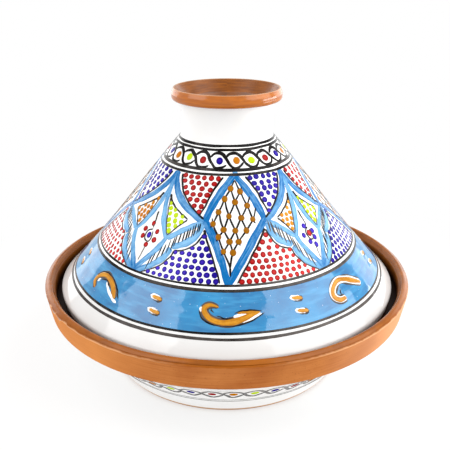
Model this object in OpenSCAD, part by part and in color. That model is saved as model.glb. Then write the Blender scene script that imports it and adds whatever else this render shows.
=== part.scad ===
// Tagine pot: a shallow terracotta dish with a gallery, and a loose conical
// lid with a hollow knob. Both are thrown clay, tin-glazed white outside and
// clear-glazed inside. Millimetres, +Z up, origin at the middle of the foot.
// Every piece is a body of revolution about the Z axis, so each module turns
// one outline, and each outline is given in [radius, height].

/* [Dish] */
// Outer diameter of the dish at its rim
dish_d = 300; // [260:1:340]
// Height of the dish, from the table to the crown of its rim
dish_h = 77.2; // [66:0.2:90]
// Outer diameter of the foot where it meets the table
foot_d = 192; // [160:1:210]
// Width of the ring of foot that touches the table
foot_w = 12; // [8:1:18]
// Height of the foot under the floor
foot_h = 6; // [4:0.5:9]
// Thickness of the dish floor
floor_t = 7; // [5:0.5:10]
// Thickness of the dish wall
dish_wall = 7; // [5:0.5:9]
// How far the wall leans out before it opens into the flare
flare_out = 10; // [4:1:16]
// Height over the table at which the wall opens into the flare
flare_h = 24; // [16:1:30]

/* [Dish rim] */
// Height of the rim, from the foot of its bare band to its crown
band_h = 21.7; // [16:0.1:28]
// How far the band leans out from its foot to its top edge
band_lean = 3.5; // [1:0.5:6]
// How far the band stands out from the glazed wall below it
band_step = 3; // [1.5:0.5:5]
// Width of the top of the rim, from its outer edge to the gallery
rim_w = 7.3; // [6:0.1:12]
// Distance from the rim's outer edge in to its crown
crown_w = 4; // [2.5:0.1:5]
// How far the crown stands over the rim's outer edge
crown_h = 2.2; // [1:0.1:4]
// How far the rim falls from its crown to the gallery's wall
rim_fall = 4.5; // [2:0.1:6]
// Depth of the gallery floor below the crown
gallery_h = 15.2; // [12:0.1:18]
// Width of the gallery floor that carries the lid
gallery_w = 13.2; // [11:0.1:16]

/* [Lid] */
// Gap all round between the lid's edge and the gallery wall
lid_gap = 5.4; // [2:0.1:8]
// Height of the cone, from the gallery floor to the foot of the neck
cone_h = 128; // [100:1:160]
// Height of the lid's widest point over its seat
edge_h = 9; // [7:0.5:11]
// Thickness of the lid wall
lid_wall = 6.5; // [5:0.5:8]
// How far the cone dips below a straight line, two thirds of the way out
cone_sag = 2; // [0:0.5:4]
// Thickness of the cone's closed top
top_t = 4; // [3:0.5:6]

/* [Knob] */
// Diameter of the neck where it stands on the cone
neck_d = 72; // [60:1:84]
// Height of the neck from the cone to the roll
neck_h = 27; // [20:1:36]
// How far the neck narrows at its waist
neck_waist = 1.2; // [0:0.1:2.5]
// Outer diameter of the rolled rim of the knob
roll_d = 85.4; // [78:0.2:96]
// Height of the rolled rim
roll_h = 9.4; // [7:0.2:12]
// Diameter of the cup's mouth, at the crest of the roll
mouth_d = 81.4; // [74:0.2:92]
// Diameter of the cup's throat, where the neck meets the roll
throat_d = 65; // [56:1:68]
// Diameter of the floor of the cup inside the knob
cup_d = 46; // [36:1:52]
// Thickness of the cup's floor
cup_t = 7; // [5:0.5:9]

/* [Glaze] */
// Thickness of every coat of glaze
glaze_t = 0.5; // [0.3:0.1:0.8]
// Height of bare clay left below the glaze at the foot
bare_foot = 1.6; // [1:0.2:3]
// Height of bare clay left below the glaze at the lid's edge
bare_edge = 3.4; // [2:0.2:4]
// Height of the white skirt, from the lid's widest point to the blue band
skirt_h = 12; // [8:0.5:14]
// Height of the blue band on the cone
blue_h = 22; // [16:0.5:30]

/* [Fit] */
// Gap under the lid where it rests on the glazed gallery
seat_gap = 0.2; // [0.1:0.05:0.4]

/* [Hidden] */
$fn = 96;

arc_steps = 6;    // chords in each rounded corner
curve_steps = 24; // chords in each long curve
edge_round = 3;   // rounding of a potter's trimmed edge
soft_round = 1.5; // rounding where a sponge has passed once
lip_t = 1;        // thickness of the lip at the crest of the roll

terracotta = "#c8733a";
glazed_clay = "#b5642a";
tin_white = "#f4f2ec";
turquoise_blue = "#3f8fcb";

// ---- outline tools ----

function unit(v) = v / norm(v);
function mix(a, b, t) = a * (1 - t) + b * t;
function reversed(list) = [for (i = [len(list) - 1:-1:0]) list[i]];
function slice(list, from, to) = [for (i = [from:to]) list[i]];

// Quadratic curve from a to b that leaves a towards c and reaches b from c
function curve2(a, c, b) = [
    for (i = [0:curve_steps])
        let (t = i / curve_steps)
            a * pow(1 - t, 2) + c * 2 * t * (1 - t) + b * pow(t, 2)
];

// Cubic curve from a to b with two handles
function curve3(a, ca, cb, b) = [
    for (i = [0:curve_steps])
        let (t = i / curve_steps)
            a * pow(1 - t, 3) + ca * 3 * t * pow(1 - t, 2)
            + cb * 3 * pow(t, 2) * (1 - t) + b * pow(t, 3)
];

// The arc that rounds corner p between neighbours a and b by radius r,
// or by less where the shorter side has no room for it
function corner(a, p, b, r) =
    let (
        u = unit(a - p),
        v = unit(b - p),
        half = acos(max(-1, min(1, u * v))) / 2,
        room = 0.48 * min(norm(a - p), norm(b - p)),
        cut = min(r / tan(half), room),
        rad = cut * tan(half),
        c = p + unit(u + v) * rad / sin(half),
        from = p + u * cut - c,
        to = p + v * cut - c,
        start = atan2(from.y, from.x),
        turn = (atan2(to.y, to.x) - start + 540) % 360 - 180
    )
    [for (i = [0:arc_steps]) c + rad * [cos(start + turn * i / arc_steps), sin(start + turn * i / arc_steps)]];

// An open path through corners given as [radius, height, rounding]
function rounded(pts) = [
    for (i = [0:len(pts) - 1])
        let (p = [pts[i].x, pts[i].y])
            if (i == 0 || i == len(pts) - 1 || pts[i].z == 0) p
            else each corner([pts[i - 1].x, pts[i - 1].y], p, [pts[i + 1].x, pts[i + 1].y], pts[i].z)
];

// The unit normal on the left of a path at point i
function left_normal(path, i) =
    let (
        a = path[max(0, i - 1)],
        b = path[min(len(path) - 1, i + 1)],
        d = unit(b - a)
    )
    [-d.y, d.x];

// A path moved to its left by t
function beside(path, t) = [for (i = [0:len(path) - 1]) path[i] + left_normal(path, i) * t];

// Height by height, the radius of a path that rises all the way
function radius_at(path, z) = lookup(z, [for (p = path) [p.y, p.x]]);

module turned(outline) {
    rotate_extrude() polygon(outline);
}

// A coat of even thickness on the left of points from..to of a path
module coat(path, from, to) {
    outer = beside(path, glaze_t);
    turned(concat(slice(path, from, to), reversed(slice(outer, from, to))));
}

// ---- dish outlines ----

crest_r = dish_d / 2;
foot_r = foot_d / 2;
foot_in = foot_r - foot_w;
band_z = dish_h - band_h;
band_r = crest_r - band_lean;
wall_top = [band_r - band_step, band_z];
flare = [foot_r + flare_out, flare_h];
floor_z = foot_h + floor_t;
ledge_z = dish_h - gallery_h;
gallery_r = crest_r - rim_w;
ledge_r = gallery_r - gallery_w;
rim_foot_r = gallery_r - soft_round / 2;
crown_out = crest_r - crown_w + soft_round / 2;
crown_in = crown_out - soft_round;
glaze_stop = mix([crown_out, dish_h], [crest_r, dish_h - crown_h], 0.65);

// Outside of foot and wall, rising from the table to the band
dish_outside = curve2([foot_r, 0], flare, wall_top);
foot_top_r = radius_at(dish_outside, foot_h);

// Inside of the bowl, from the middle of the floor out to the gallery
bowl_top = [ledge_r - soft_round, band_z];
bowl_inside = concat(
    [[0, floor_z]],
    curve3(
        [foot_r - 3 * foot_h, floor_z],
        [foot_r + dish_wall / 2, floor_z],
        mix(wall_top, flare, 2 / 3) + dish_wall * [-1, 1] * 0.8,
        bowl_top
    )
);

// Top of the gallery, from the bowl out to the foot of the rim's inner wall
gallery_top = rounded([
    [bowl_top.x, bowl_top.y, 0],
    [ledge_r, ledge_z, soft_round],
    [rim_foot_r, ledge_z, 0]
]);

// Inside of the rim, from the gallery up and over the crown
rim_inside = rounded([
    [rim_foot_r, ledge_z, 0],
    [gallery_r, dish_h - rim_fall, soft_round],
    [crown_in, dish_h, soft_round],
    [crown_out, dish_h, soft_round],
    [glaze_stop.x, glaze_stop.y, 0]
]);

// Outside of the rim, from the glaze's edge down the bare band to the wall
rim_outside = rounded([
    [glaze_stop.x, glaze_stop.y, 0],
    [crest_r, dish_h - crown_h, soft_round / 2],
    [band_r, band_z, soft_round],
    [wall_top.x, band_z, 0]
]);

// Inside of the whole dish as one path, for its coat of glaze
dish_inside = concat(
    bowl_inside,
    slice(gallery_top, 1, len(gallery_top) - 1),
    slice(rim_inside, 1, len(rim_inside) - 1)
);

// ---- lid outlines ----

seat_z = ledge_z + glaze_t + seat_gap;
edge_r = gallery_r - lid_gap - glaze_t;
edge_z = seat_z + edge_h;
neck_r = neck_d / 2;
neck_z = ledge_z + cone_h;
roll_z = neck_z + neck_h;
roll_r = roll_d / 2;
roll_top = roll_z + roll_h;
mouth_r = mouth_d / 2;
throat_r = throat_d / 2;
cup_r = cup_d / 2;
skirt_z = edge_z + skirt_h;
blue_z = skirt_z + blue_h;

cone_foot = [edge_r, edge_z];
cone_head = [neck_r, neck_z];
cone_down = unit(cone_foot - cone_head);
cone_dip = [cone_down.y, -cone_down.x] * cone_sag;

// The cone's line at share t of the way from the neck to the edge. The dip
// is greatest, and equal to cone_sag, at two thirds of the way.
function on_cone(t) = mix(cone_head, cone_foot, t) + cone_dip * 6.75 * pow(t, 2) * (1 - t);
cone_line = [for (i = [curve_steps:-1:0]) on_cone(i / curve_steps)];

// Stretches of the cone's line, cut where the glaze changes colour
function cone_between(low, high) = concat(
    [[radius_at(cone_line, low), low]],
    [for (p = cone_line) if (p.y > low + 1 && p.y < high - 1) p],
    [[radius_at(cone_line, high), high]]
);
blue_part = cone_between(skirt_z, blue_z);
upper_part = cone_between(blue_z, neck_z);

// The lid's bottom edge, from its bare seat up to the foot of the skirt
edge_part = rounded([
    [edge_r - edge_round, seat_z, 0],
    [edge_r - soft_round, seat_z, edge_round],
    [edge_r, edge_z, edge_round],
    [blue_part[0].x, skirt_z, 0]
]);
bare_z = seat_z + bare_edge;
bare_r = radius_at(edge_part, bare_z);
glazed_edge = concat([[bare_r, bare_z]], [for (p = edge_part) if (p.y > bare_z + 0.3) p]);
bare_part = concat([for (p = edge_part) if (p.y < bare_z - 0.3) p], [[bare_r, bare_z]]);

// Outside of the neck, from the cone to the roll
neck_part = curve2(
    cone_head,
    [neck_r - 2 * neck_waist, neck_z + neck_h / 2],
    [neck_r + soft_round, roll_z]
);

// One path up the glazed outside of the lid, and where its stretches end
lid_outside = concat(
    glazed_edge,
    slice(blue_part, 1, len(blue_part) - 1),
    slice(upper_part, 1, len(upper_part) - 1),
    slice(neck_part, 1, len(neck_part) - 1)
);
skirt_end = len(glazed_edge) - 1;
blue_end = skirt_end + len(blue_part) - 1;
cone_end = blue_end + len(upper_part) - 1;
neck_end = cone_end + len(neck_part) - 1;

// Inside of the lid, from the middle of its ceiling down to the seat
wall_across = lid_wall / -cone_down.y;
ceiling_z = neck_z - top_t;
ceiling_r = radius_at(cone_line, ceiling_z) - wall_across;
lid_inside = rounded([
    [0, ceiling_z, 0],
    [ceiling_r, ceiling_z, edge_round],
    [edge_r - wall_across, edge_z, edge_round],
    [edge_r - wall_across, seat_z + soft_round, 0]
]);

// ---- dish pieces ----

module dish_bowl() {
    color(terracotta)
        turned(concat(
            [[0, foot_h], [foot_top_r, foot_h]],
            [for (p = dish_outside) if (p.y > foot_h + 0.3) p],
            reversed(bowl_inside)
        ));
}

module foot_ring() {
    color(terracotta)
        turned(concat(
            [[foot_in, 0]],
            [for (p = dish_outside) if (p.y < foot_h - 0.3) p],
            [[foot_top_r, foot_h], [foot_in - foot_h / 4, foot_h]]
        ));
}

module gallery() {
    color(terracotta)
        turned(concat(gallery_top, [[rim_foot_r, band_z]]));
}

module dish_rim() {
    color(terracotta)
        turned(concat(
            rim_inside,
            slice(rim_outside, 1, len(rim_outside) - 1),
            [[rim_foot_r, band_z]]
        ));
}

module dish_outer_glaze() {
    bare_at = [radius_at(dish_outside, bare_foot), bare_foot];
    glazed = concat(
        [bare_at],
        [for (p = dish_outside) if (p.y > bare_foot + 0.3 && p.y < foot_h - 0.3) p],
        [[foot_top_r, foot_h]],
        [for (p = dish_outside) if (p.y > foot_h + 0.3) p]
    );
    coated = beside(glazed, -glaze_t);
    last = len(glazed) - 1;
    color(tin_white)
        turned(concat(
            reversed(glazed),
            slice(coated, 0, last - 1),
            [[coated[last].x, band_z]]
        ));
}

module dish_inner_glaze() {
    color(glazed_clay)
        coat(dish_inside, 0, len(dish_inside) - 1);
}

// ---- lid pieces ----

module lid_cone() {
    color(terracotta)
        turned(concat(
            [[0, neck_z]],
            reversed(slice(lid_outside, 0, cone_end)),
            reversed(slice(bare_part, 0, len(bare_part) - 2)),
            [[edge_r - wall_across + soft_round, seat_z]],
            reversed(lid_inside)
        ));
}

module knob_cup() {
    cup_inside = rounded([
        [0, neck_z + cup_t, 0],
        [cup_r, neck_z + cup_t, edge_round],
        [throat_r, roll_z, 0]
    ]);
    color(glazed_clay)
        turned(concat([[0, neck_z]], neck_part, reversed(cup_inside)));
}

module knob_roll() {
    color(glazed_clay)
        turned(rounded([
            [throat_r, roll_z, 0],
            [roll_r, roll_z, 0.42 * roll_h],
            [roll_r, roll_z + 0.62 * roll_h, 0.6 * roll_h],
            [mouth_r + lip_t / 2, roll_top, 0.4 * lip_t],
            [mouth_r - lip_t / 2, roll_top, 0.4 * lip_t]
        ]));
}

module lid_skirt_glaze() {
    color(tin_white)
        lid_coat(0, skirt_end);
}

module lid_blue_glaze() {
    color(turquoise_blue)
        lid_coat(skirt_end, blue_end);
}

module lid_cone_glaze() {
    color(tin_white)
        lid_coat(blue_end, cone_end);
}

module neck_glaze() {
    color(tin_white)
        lid_coat(cone_end, neck_end);
}

// A coat on the outside of the lid, which lies on the right of its path
module lid_coat(from, to) {
    outer = beside(lid_outside, -glaze_t);
    turned(concat(slice(outer, from, to), reversed(slice(lid_outside, from, to))));
}

module lid_inner_glaze() {
    color(glazed_clay)
        coat(reversed(lid_inside), 0, len(lid_inside) - 1);
}

dish_bowl();
foot_ring();
gallery();
dish_rim();
dish_outer_glaze();
dish_inner_glaze();
lid_cone();
knob_cup();
knob_roll();
lid_skirt_glaze();
lid_blue_glaze();
lid_cone_glaze();
neck_glaze();
lid_inner_glaze();
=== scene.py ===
"""Looks of a hand-painted tagine pot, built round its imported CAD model.

The dish and the lid keep their CAD shapes. This script glazes them, paints the
lid and the dish wall with brush strokes and dots that lie on the glaze, and
sets up a plain studio. Painted places are given as an angle round the pot, in
degrees from the front and positive to the right, and a slant, the distance in
millimetres down the lid's wall or up the dish's.
"""

import logging
import math
from dataclasses import dataclass, field, replace
from enum import Enum
from functools import partial

import bmesh
import bpy
import numpy as np
from mathutils import Euler, Matrix, Vector


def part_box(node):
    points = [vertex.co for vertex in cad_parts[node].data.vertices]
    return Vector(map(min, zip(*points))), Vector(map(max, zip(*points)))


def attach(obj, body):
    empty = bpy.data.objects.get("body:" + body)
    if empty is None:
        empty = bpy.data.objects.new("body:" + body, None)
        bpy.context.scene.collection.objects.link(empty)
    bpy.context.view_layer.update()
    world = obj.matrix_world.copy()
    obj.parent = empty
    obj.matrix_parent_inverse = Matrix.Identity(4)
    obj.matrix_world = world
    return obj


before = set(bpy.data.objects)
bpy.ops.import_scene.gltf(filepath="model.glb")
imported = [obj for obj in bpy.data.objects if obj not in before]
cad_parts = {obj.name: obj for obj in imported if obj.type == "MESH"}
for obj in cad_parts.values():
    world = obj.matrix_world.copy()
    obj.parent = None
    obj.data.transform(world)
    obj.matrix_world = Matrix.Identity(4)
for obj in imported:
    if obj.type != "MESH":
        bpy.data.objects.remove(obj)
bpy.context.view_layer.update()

LOG = logging.getLogger("tagine")
MM = 0.001
SEED = 11
TINY = 1e-9
RING_ANGLES = range(-180, 180, 20)

Path = list[tuple[float, float]]
Socket = bpy.types.NodeSocket


# ---------------------------------------------------------------- colours and nodes


def linear(code: str) -> tuple[float, float, float, float]:
    """Turn an sRGB hex colour into linear red, green, blue and alpha.

    Args:
        code: the colour as "#rrggbb".

    Returns:
        Four numbers from 0 to 1, with alpha 1.
    """
    parts = [int(code[i:i + 2], 16) / 255 for i in (1, 3, 5)]
    bent = [p / 12.92 if p <= 0.04045 else ((p + 0.055) / 1.055) ** 2.4 for p in parts]
    return bent[0], bent[1], bent[2], 1.0


def per_mm(size: float) -> float:
    """The texture scale at which blotches are size mm across."""
    return 1 / (size * MM)


def add_node(tree: bpy.types.NodeTree, kind: str, *inputs: object, **settings: object) -> Socket:
    """Add one node with its settings, its input values and its incoming links.

    Args:
        tree: the tree that the node goes into.
        kind: the node's bl_idname.
        *inputs: for each input in use, in turn, a socket to link, a "#rrggbb"
            colour, a value, or None to leave it alone.
        **settings: properties of the node itself.

    Returns:
        Its first output in use. That socket's node gives the others.
    """
    node = tree.nodes.new(kind)
    for name, value in settings.items():
        setattr(node, name, value)
    for socket, given in zip([s for s in node.inputs if s.enabled], inputs):
        if isinstance(given, Socket):
            tree.links.new(given, socket)
        elif given is not None:
            is_colour = isinstance(given, str) and given.startswith("#")
            socket.default_value = linear(given) if is_colour else given
    return next((s for s in node.outputs if s.enabled), None)


class Surface:
    """A material while its finish is laid on.

    Attributes:
        material: the material.
        shader: its Principled node.
        add: add_node for its tree.
        place: the point's place on the pot, in metres.
    """

    def __init__(self, name: str, **constants: float) -> None:
        """Start with a bare Principled material.

        Args:
            name: the material's common name.
            **constants: shader inputs that are the same all over, with _ for spaces.
        """
        self.material = bpy.data.materials.new(name)
        self.material.use_nodes = True
        self.material.node_tree.nodes.clear()
        self.add = partial(add_node, self.material.node_tree)
        surface = self.add("ShaderNodeBsdfPrincipled")
        self.add("ShaderNodeOutputMaterial", surface)
        self.shader = surface.node
        for key, value in constants.items():
            self.shader.inputs[key.replace("_", " ")].default_value = value
        self.place = self.add("ShaderNodeTexCoord").node.outputs["Object"]

    def wheel(self, around: float) -> Socket:
        """Coordinates that follow the wheel: stretched round the pot, true up it.

        Args:
            around: how far one radian round the pot counts, in metres.

        Returns:
            A vector of (way round, radius, height) in metres.
        """
        x, y, z = self.add("ShaderNodeSeparateXYZ", self.place).node.outputs
        square = self.add("ShaderNodeMath", x, x, operation="MULTIPLY")
        square = self.add("ShaderNodeMath", y, y, square, operation="MULTIPLY_ADD")
        radius = self.add("ShaderNodeMath", square, operation="SQRT")
        back = self.add("ShaderNodeMath", y, -1.0, operation="MULTIPLY")
        turn = self.add("ShaderNodeMath", x, back, operation="ARCTAN2")
        turn = self.add("ShaderNodeMath", turn, around, operation="MULTIPLY")
        return self.add("ShaderNodeCombineXYZ", turn, radius, z)

    def blotches(self, under: Socket | str, over: str, place: Socket, size: float, detail: float,
                 *levels: float) -> Socket:
        """Lay one colour over another in blotches.

        Args:
            under: the colour below.
            over: the colour of the blotches.
            place: the coordinates that they follow.
            size: their size in mm.
            detail: how ragged they are.
            *levels: noise levels between which they come in, then their least and
                greatest share.

        Returns:
            The colour.
        """
        share = self.add("ShaderNodeTexNoise", place, per_mm(size), detail)
        share = self.add("ShaderNodeMapRange", share, *levels)
        return self.add("ShaderNodeMix", share, under, over, data_type="RGBA")

    def feed(self, **sockets: Socket) -> None:
        """Link sockets to the shader's inputs, which are named with _ for spaces."""
        for key, socket in sockets.items():
            self.material.node_tree.links.new(socket, self.shader.inputs[key.replace("_", " ")])

    def bump(self, *layers: tuple[Socket, float]) -> None:
        """Chain bump layers into the shader's normal.

        Args:
            *layers: (height socket, height in mm) pairs.
        """
        normal = None
        for height, depth in layers:
            normal = self.add("ShaderNodeBump", 1.0, depth * MM, None, height, normal)
        self.feed(Normal=normal)


# ---------------------------------------------------------------- finishes


@dataclass(frozen=True)
class BareTerracotta:
    """Unglazed fired earthenware: matt, with rings left by the thrower's rib.

    Attributes:
        light: colour of the rings' crests.
        dark: colour between them.
        grog: colour of the fired specks.
        name: the material's common name.
        run_z: height in mm that the rim's clear glaze runs down to, if it does.
    """

    light: str = "#ca7e40"
    dark: str = "#ae6129"
    grog: str = "#8f4f28"
    name: str = "bare_terracotta"
    run_z: float | None = None

    # The rim's band: painted light on its sides, lighter where the side lamps fall and
    # whitish on the right as a painted sheen, each from one place to another in mm right of
    # the middle, with its share and colour; and the glaze run, in the middle, at the sides,
    # where it is paler as a painted sheen, and where it is thick.
    PAINTED_SIDE_LIGHT = ((-40, -90, 0.5, "#f09c52"), (60, 132, 0.55, "#ffc092"))
    RUN_AND_SHEEN = ("#a65a14", "#efb582", "#9c540e")

    def material(self) -> bpy.types.Material:
        """Rings 0.9 mm apart, specks of grog 0.8 mm across and a cloudy firing.

        Returns:
            The material.
        """
        coat = Surface(self.name, Roughness=0.8, IOR=1.45, Specular_IOR_Level=0.15)
        add = coat.add
        rings = add("ShaderNodeTexNoise", coat.wheel(0.004), per_mm(0.9), 3.0)
        cloud = add("ShaderNodeTexNoise", coat.place, per_mm(34.0), 3.0)
        tone = add("ShaderNodeMath", rings, 0.5, cloud, operation="MULTIPLY_ADD")
        tone = add("ShaderNodeMapRange", tone, 0.55, 0.95)
        colour = add("ShaderNodeMix", tone, self.dark, self.light, data_type="RGBA")
        colour = coat.blotches(colour, self.grog, coat.place, 0.8, 1.0, 0.68, 0.76)
        if self.run_z:
            colour = self._glaze_run(coat, colour)
        coat.feed(Base_Color=colour)
        grain = add("ShaderNodeTexNoise", coat.place, per_mm(0.5), 2.0)
        coat.bump((rings, 0.12), (grain, 0.04))
        return coat.material

    def _glaze_run(self, coat: Surface, colour: Socket) -> Socket:
        """Clay painted paler towards both sides as painted light, with the rim's clear glaze run onto it,
        paler at the sides as a painted sheen.

        Args:
            coat: the surface.
            colour: the clay's colour.

        Returns:
            The colour with the run over it.
        """
        add = coat.add
        x, _, height = add("ShaderNodeSeparateXYZ", coat.place).node.outputs
        # Painted light: each side of the band is mixed towards a paler colour.
        for start, end, share, pale in self.PAINTED_SIDE_LIGHT:
            aside = add("ShaderNodeMapRange", x, start * MM, end * MM, 0.0, share)
            colour = add("ShaderNodeMix", aside, colour, pale, data_type="RGBA")
        most = add("ShaderNodeMapRange", x, -122 * MM, -110 * MM, 2.8 * MM, 0.4 * MM)
        reach = add("ShaderNodeTexNoise", coat.place, per_mm(7.0), 3.0)
        reach = add("ShaderNodeMapRange", reach, 0.42, 0.62)
        height = add("ShaderNodeMath", reach, most, height, operation="MULTIPLY_ADD")
        run = add("ShaderNodeMapRange", height, (self.run_z - 0.15) * MM, (self.run_z + 0.15) * MM)
        thick = add("ShaderNodeMapRange", height, (self.run_z + 0.1) * MM, (self.run_z + 1.1) * MM)
        aside = add("ShaderNodeMath", x, operation="ABSOLUTE")
        aside = add("ShaderNodeMapRange", aside, 25 * MM, 75 * MM)
        # Painted sheen: the run's colour turns paler towards the sides.
        middle, side, deep = self.RUN_AND_SHEEN
        glaze = add("ShaderNodeMix", aside, middle, side, data_type="RGBA")
        glaze = add("ShaderNodeMix", thick, glaze, deep, data_type="RGBA")
        coat.feed(Roughness=add("ShaderNodeMapRange", run, 0.0, 1.0, 0.78, 0.2))
        return add("ShaderNodeMix", run, colour, glaze, data_type="RGBA")


@dataclass(frozen=True)
class ClearGlazedTerracotta:
    """Earthenware under a clear lead glaze, which darkens it and pools unevenly.

    Attributes:
        name: the material's common name.
        light: colour where the glaze is thin.
        dark: colour where it is thicker, in streaks.
        deep: colour in broad cloudy patches.
        roughness: how matt the glaze is.
        fine: True where the streaks are close and nearly flat, as on the knob.
        pool_and_shade: a groove painted near-black and less shiny, as painted shade: lowest and
        highest height, and inner radius, in mm.
        mouth: a funnel whose inside is painted darker and less shiny as painted shade,
        with a painted highlight along its crest: lowest and highest height, and the radius
        that bounds it at each, in mm.
    """

    name: str
    light: str
    dark: str
    deep: str
    roughness: float = 0.14
    fine: bool = False
    pool_and_shade: tuple[float, float, float] | None = None
    mouth: tuple[float, float, float, float] | None = None

    # Painted shade in the groove, the mouth's darker streaks as painted shade, and a painted
    # highlight on the crest above it.
    GROOVE_SHADE = "#261208"
    MOUTH_SHADE = ("#7a4006", "#9a560e")
    CREST_HIGHLIGHT = "#e6b888"

    def material(self) -> bpy.types.Material:
        """Streaks drawn round the pot by the wheel, under slow swells.

        Returns:
            The material.
        """
        coat = Surface(self.name, Roughness=self.roughness, IOR=1.52)
        add = coat.add
        around, spacing, relief = (0.004, 1.6, 0.03) if self.fine else (0.012, 3.0, 0.1)
        wheel = coat.wheel(around)
        _, radius, height = add("ShaderNodeSeparateXYZ", wheel).node.outputs
        streak = add("ShaderNodeTexNoise", wheel, per_mm(spacing), 3.0)
        share = add("ShaderNodeMapRange", streak, 0.35, 0.68)
        colour = add("ShaderNodeMix", share, self.dark, self.light, data_type="RGBA")
        colour = coat.blotches(colour, self.deep, coat.place, 18.0, 3.0, 0.5, 0.75, 0.0, 0.7)
        # Painted shade: the groove goes near-black and loses most of its shine.
        if self.pool_and_shade:
            low, high, bound = self.pool_and_shade
            pooled_and_shaded = add("ShaderNodeMath", add("ShaderNodeMapRange", height, low * MM, high * MM, 1.0, 0.0),
                         add("ShaderNodeMapRange", radius, (bound - 1) * MM, (bound + 1) * MM),
                         operation="MULTIPLY")
            colour = add("ShaderNodeMix", pooled_and_shaded, colour, self.GROOVE_SHADE, data_type="RGBA")
            coat.feed(Roughness=add("ShaderNodeMapRange", pooled_and_shaded, 0.0, 0.7, self.roughness, 0.5),
                      Specular_IOR_Level=add("ShaderNodeMapRange", pooled_and_shaded, 0.0, 0.7, 0.22, 0.06))
        # Painted shade inside the mouth: darker streaks and less shine inside the leant bound.
        if self.mouth:
            low, high, lower, upper = self.mouth
            slope = (upper - lower) / (high - low)
            bound = lower - slope * low
            leant = add("ShaderNodeMath", height, -slope, radius, operation="MULTIPLY_ADD")
            inner = add("ShaderNodeMapRange", leant, (bound - 0.2) * MM, (bound + 0.2) * MM, 1.0, 0.0)
            dusky = add("ShaderNodeMix", share, *self.MOUTH_SHADE, data_type="RGBA")
            colour = add("ShaderNodeMix", inner, colour, dusky, data_type="RGBA")
            # Painted highlight: a pale line along the crest.
            crest = add("ShaderNodeMapRange", height, (high - 0.6) * MM, (high - 0.1) * MM, 0.0, 0.35)
            colour = add("ShaderNodeMix", crest, colour, self.CREST_HIGHLIGHT, data_type="RGBA")
            coat.feed(Roughness=add("ShaderNodeMapRange", inner, 0.0, 1.0, self.roughness, 0.3),
                      Specular_IOR_Level=add("ShaderNodeMapRange", inner, 0.0, 1.0, 0.5, 0.25))
        coat.feed(Base_Color=colour)
        swell = add("ShaderNodeTexNoise", coat.place, per_mm(7.0), 2.0)
        coat.bump((streak, relief), (swell, 0.12))
        return coat.material


@dataclass(frozen=True)
class TinGlaze:
    """Opaque white tin glaze: very glossy, with soft swells from the brush and wheel.

    Attributes:
        light: its colour where it is thickest.
        warm: its colour in thinner clouds.
        name: the material's common name.
        edge_z: height in mm under which it turns brown, more so towards the bottom, if it does.
        foot_brown: that brown.
    """

    light: str = "#fdfdfd"
    warm: str = "#f9f8f5"
    name: str = "white_tin_glaze"
    edge_z: float | None = None
    foot_brown: str = "#cc9a60"

    def material(self) -> bpy.types.Material:
        """Faint clouds 40 mm across over swells of 22 and 9 mm.

        Returns:
            The material.
        """
        coat = Surface(self.name, Roughness=0.07, IOR=1.52)
        add = coat.add
        colour = coat.blotches(self.light, self.warm, coat.place, 40.0, 3.0, 0.35, 0.75)
        if self.edge_z:
            height = add("ShaderNodeSeparateXYZ", coat.place).node.outputs[2]
            low = add("ShaderNodeMapRange", height, (self.edge_z - 0.9) * MM, self.edge_z * MM, 0.9, 0.0)
            colour = add("ShaderNodeMix", low, colour, self.foot_brown, data_type="RGBA")
        coat.feed(Base_Color=colour)
        swell = add("ShaderNodeTexNoise", coat.place, per_mm(22.0), 1.0)
        ridge = add("ShaderNodeTexNoise", coat.wheel(0.03), per_mm(9.0), 1.0)
        coat.bump((swell, 0.7), (ridge, 0.1))
        return coat.material


@dataclass(frozen=True)
class BlueWash:
    """Watery blue oxide washed over the tin glaze with a wide brush on the wheel.

    Attributes:
        strong: colour where the wash gathered.
        middle: its usual colour.
        thin: colour in the streaks.
        pinhole: colour of the white glaze that shows in pinholes.
    """

    strong: str = "#0068a2"
    middle: str = "#0a88c2"
    thin: str = "#3ea2d6"
    pinhole: str = "#cfe4f2"

    def material(self) -> bpy.types.Material:
        """Clouds 26 mm across, streaks 4.5 mm apart, and pinholes 1.3 mm wide so that they show.

        Returns:
            The material.
        """
        coat = Surface("blue_glaze_wash", Roughness=0.07, IOR=1.52, Specular_IOR_Level=0.75)
        colour = coat.blotches(self.strong, self.middle, coat.place, 26.0, 4.0, 0.38, 0.66)
        colour = coat.blotches(colour, self.thin, coat.wheel(0.02), 4.5, 3.0, 0.48, 0.8)
        colour = coat.blotches(colour, self.pinhole, coat.place, 1.3, 1.0, 0.76, 0.8, 0.0, 0.7)
        coat.feed(Base_Color=colour)
        swell = coat.add("ShaderNodeTexNoise", coat.place, per_mm(16.0), 1.0)
        ripple = coat.add("ShaderNodeTexNoise", coat.place, per_mm(5.0), 1.0)
        coat.bump((swell, 0.8), (ripple, 0.03))
        return coat.material


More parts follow.
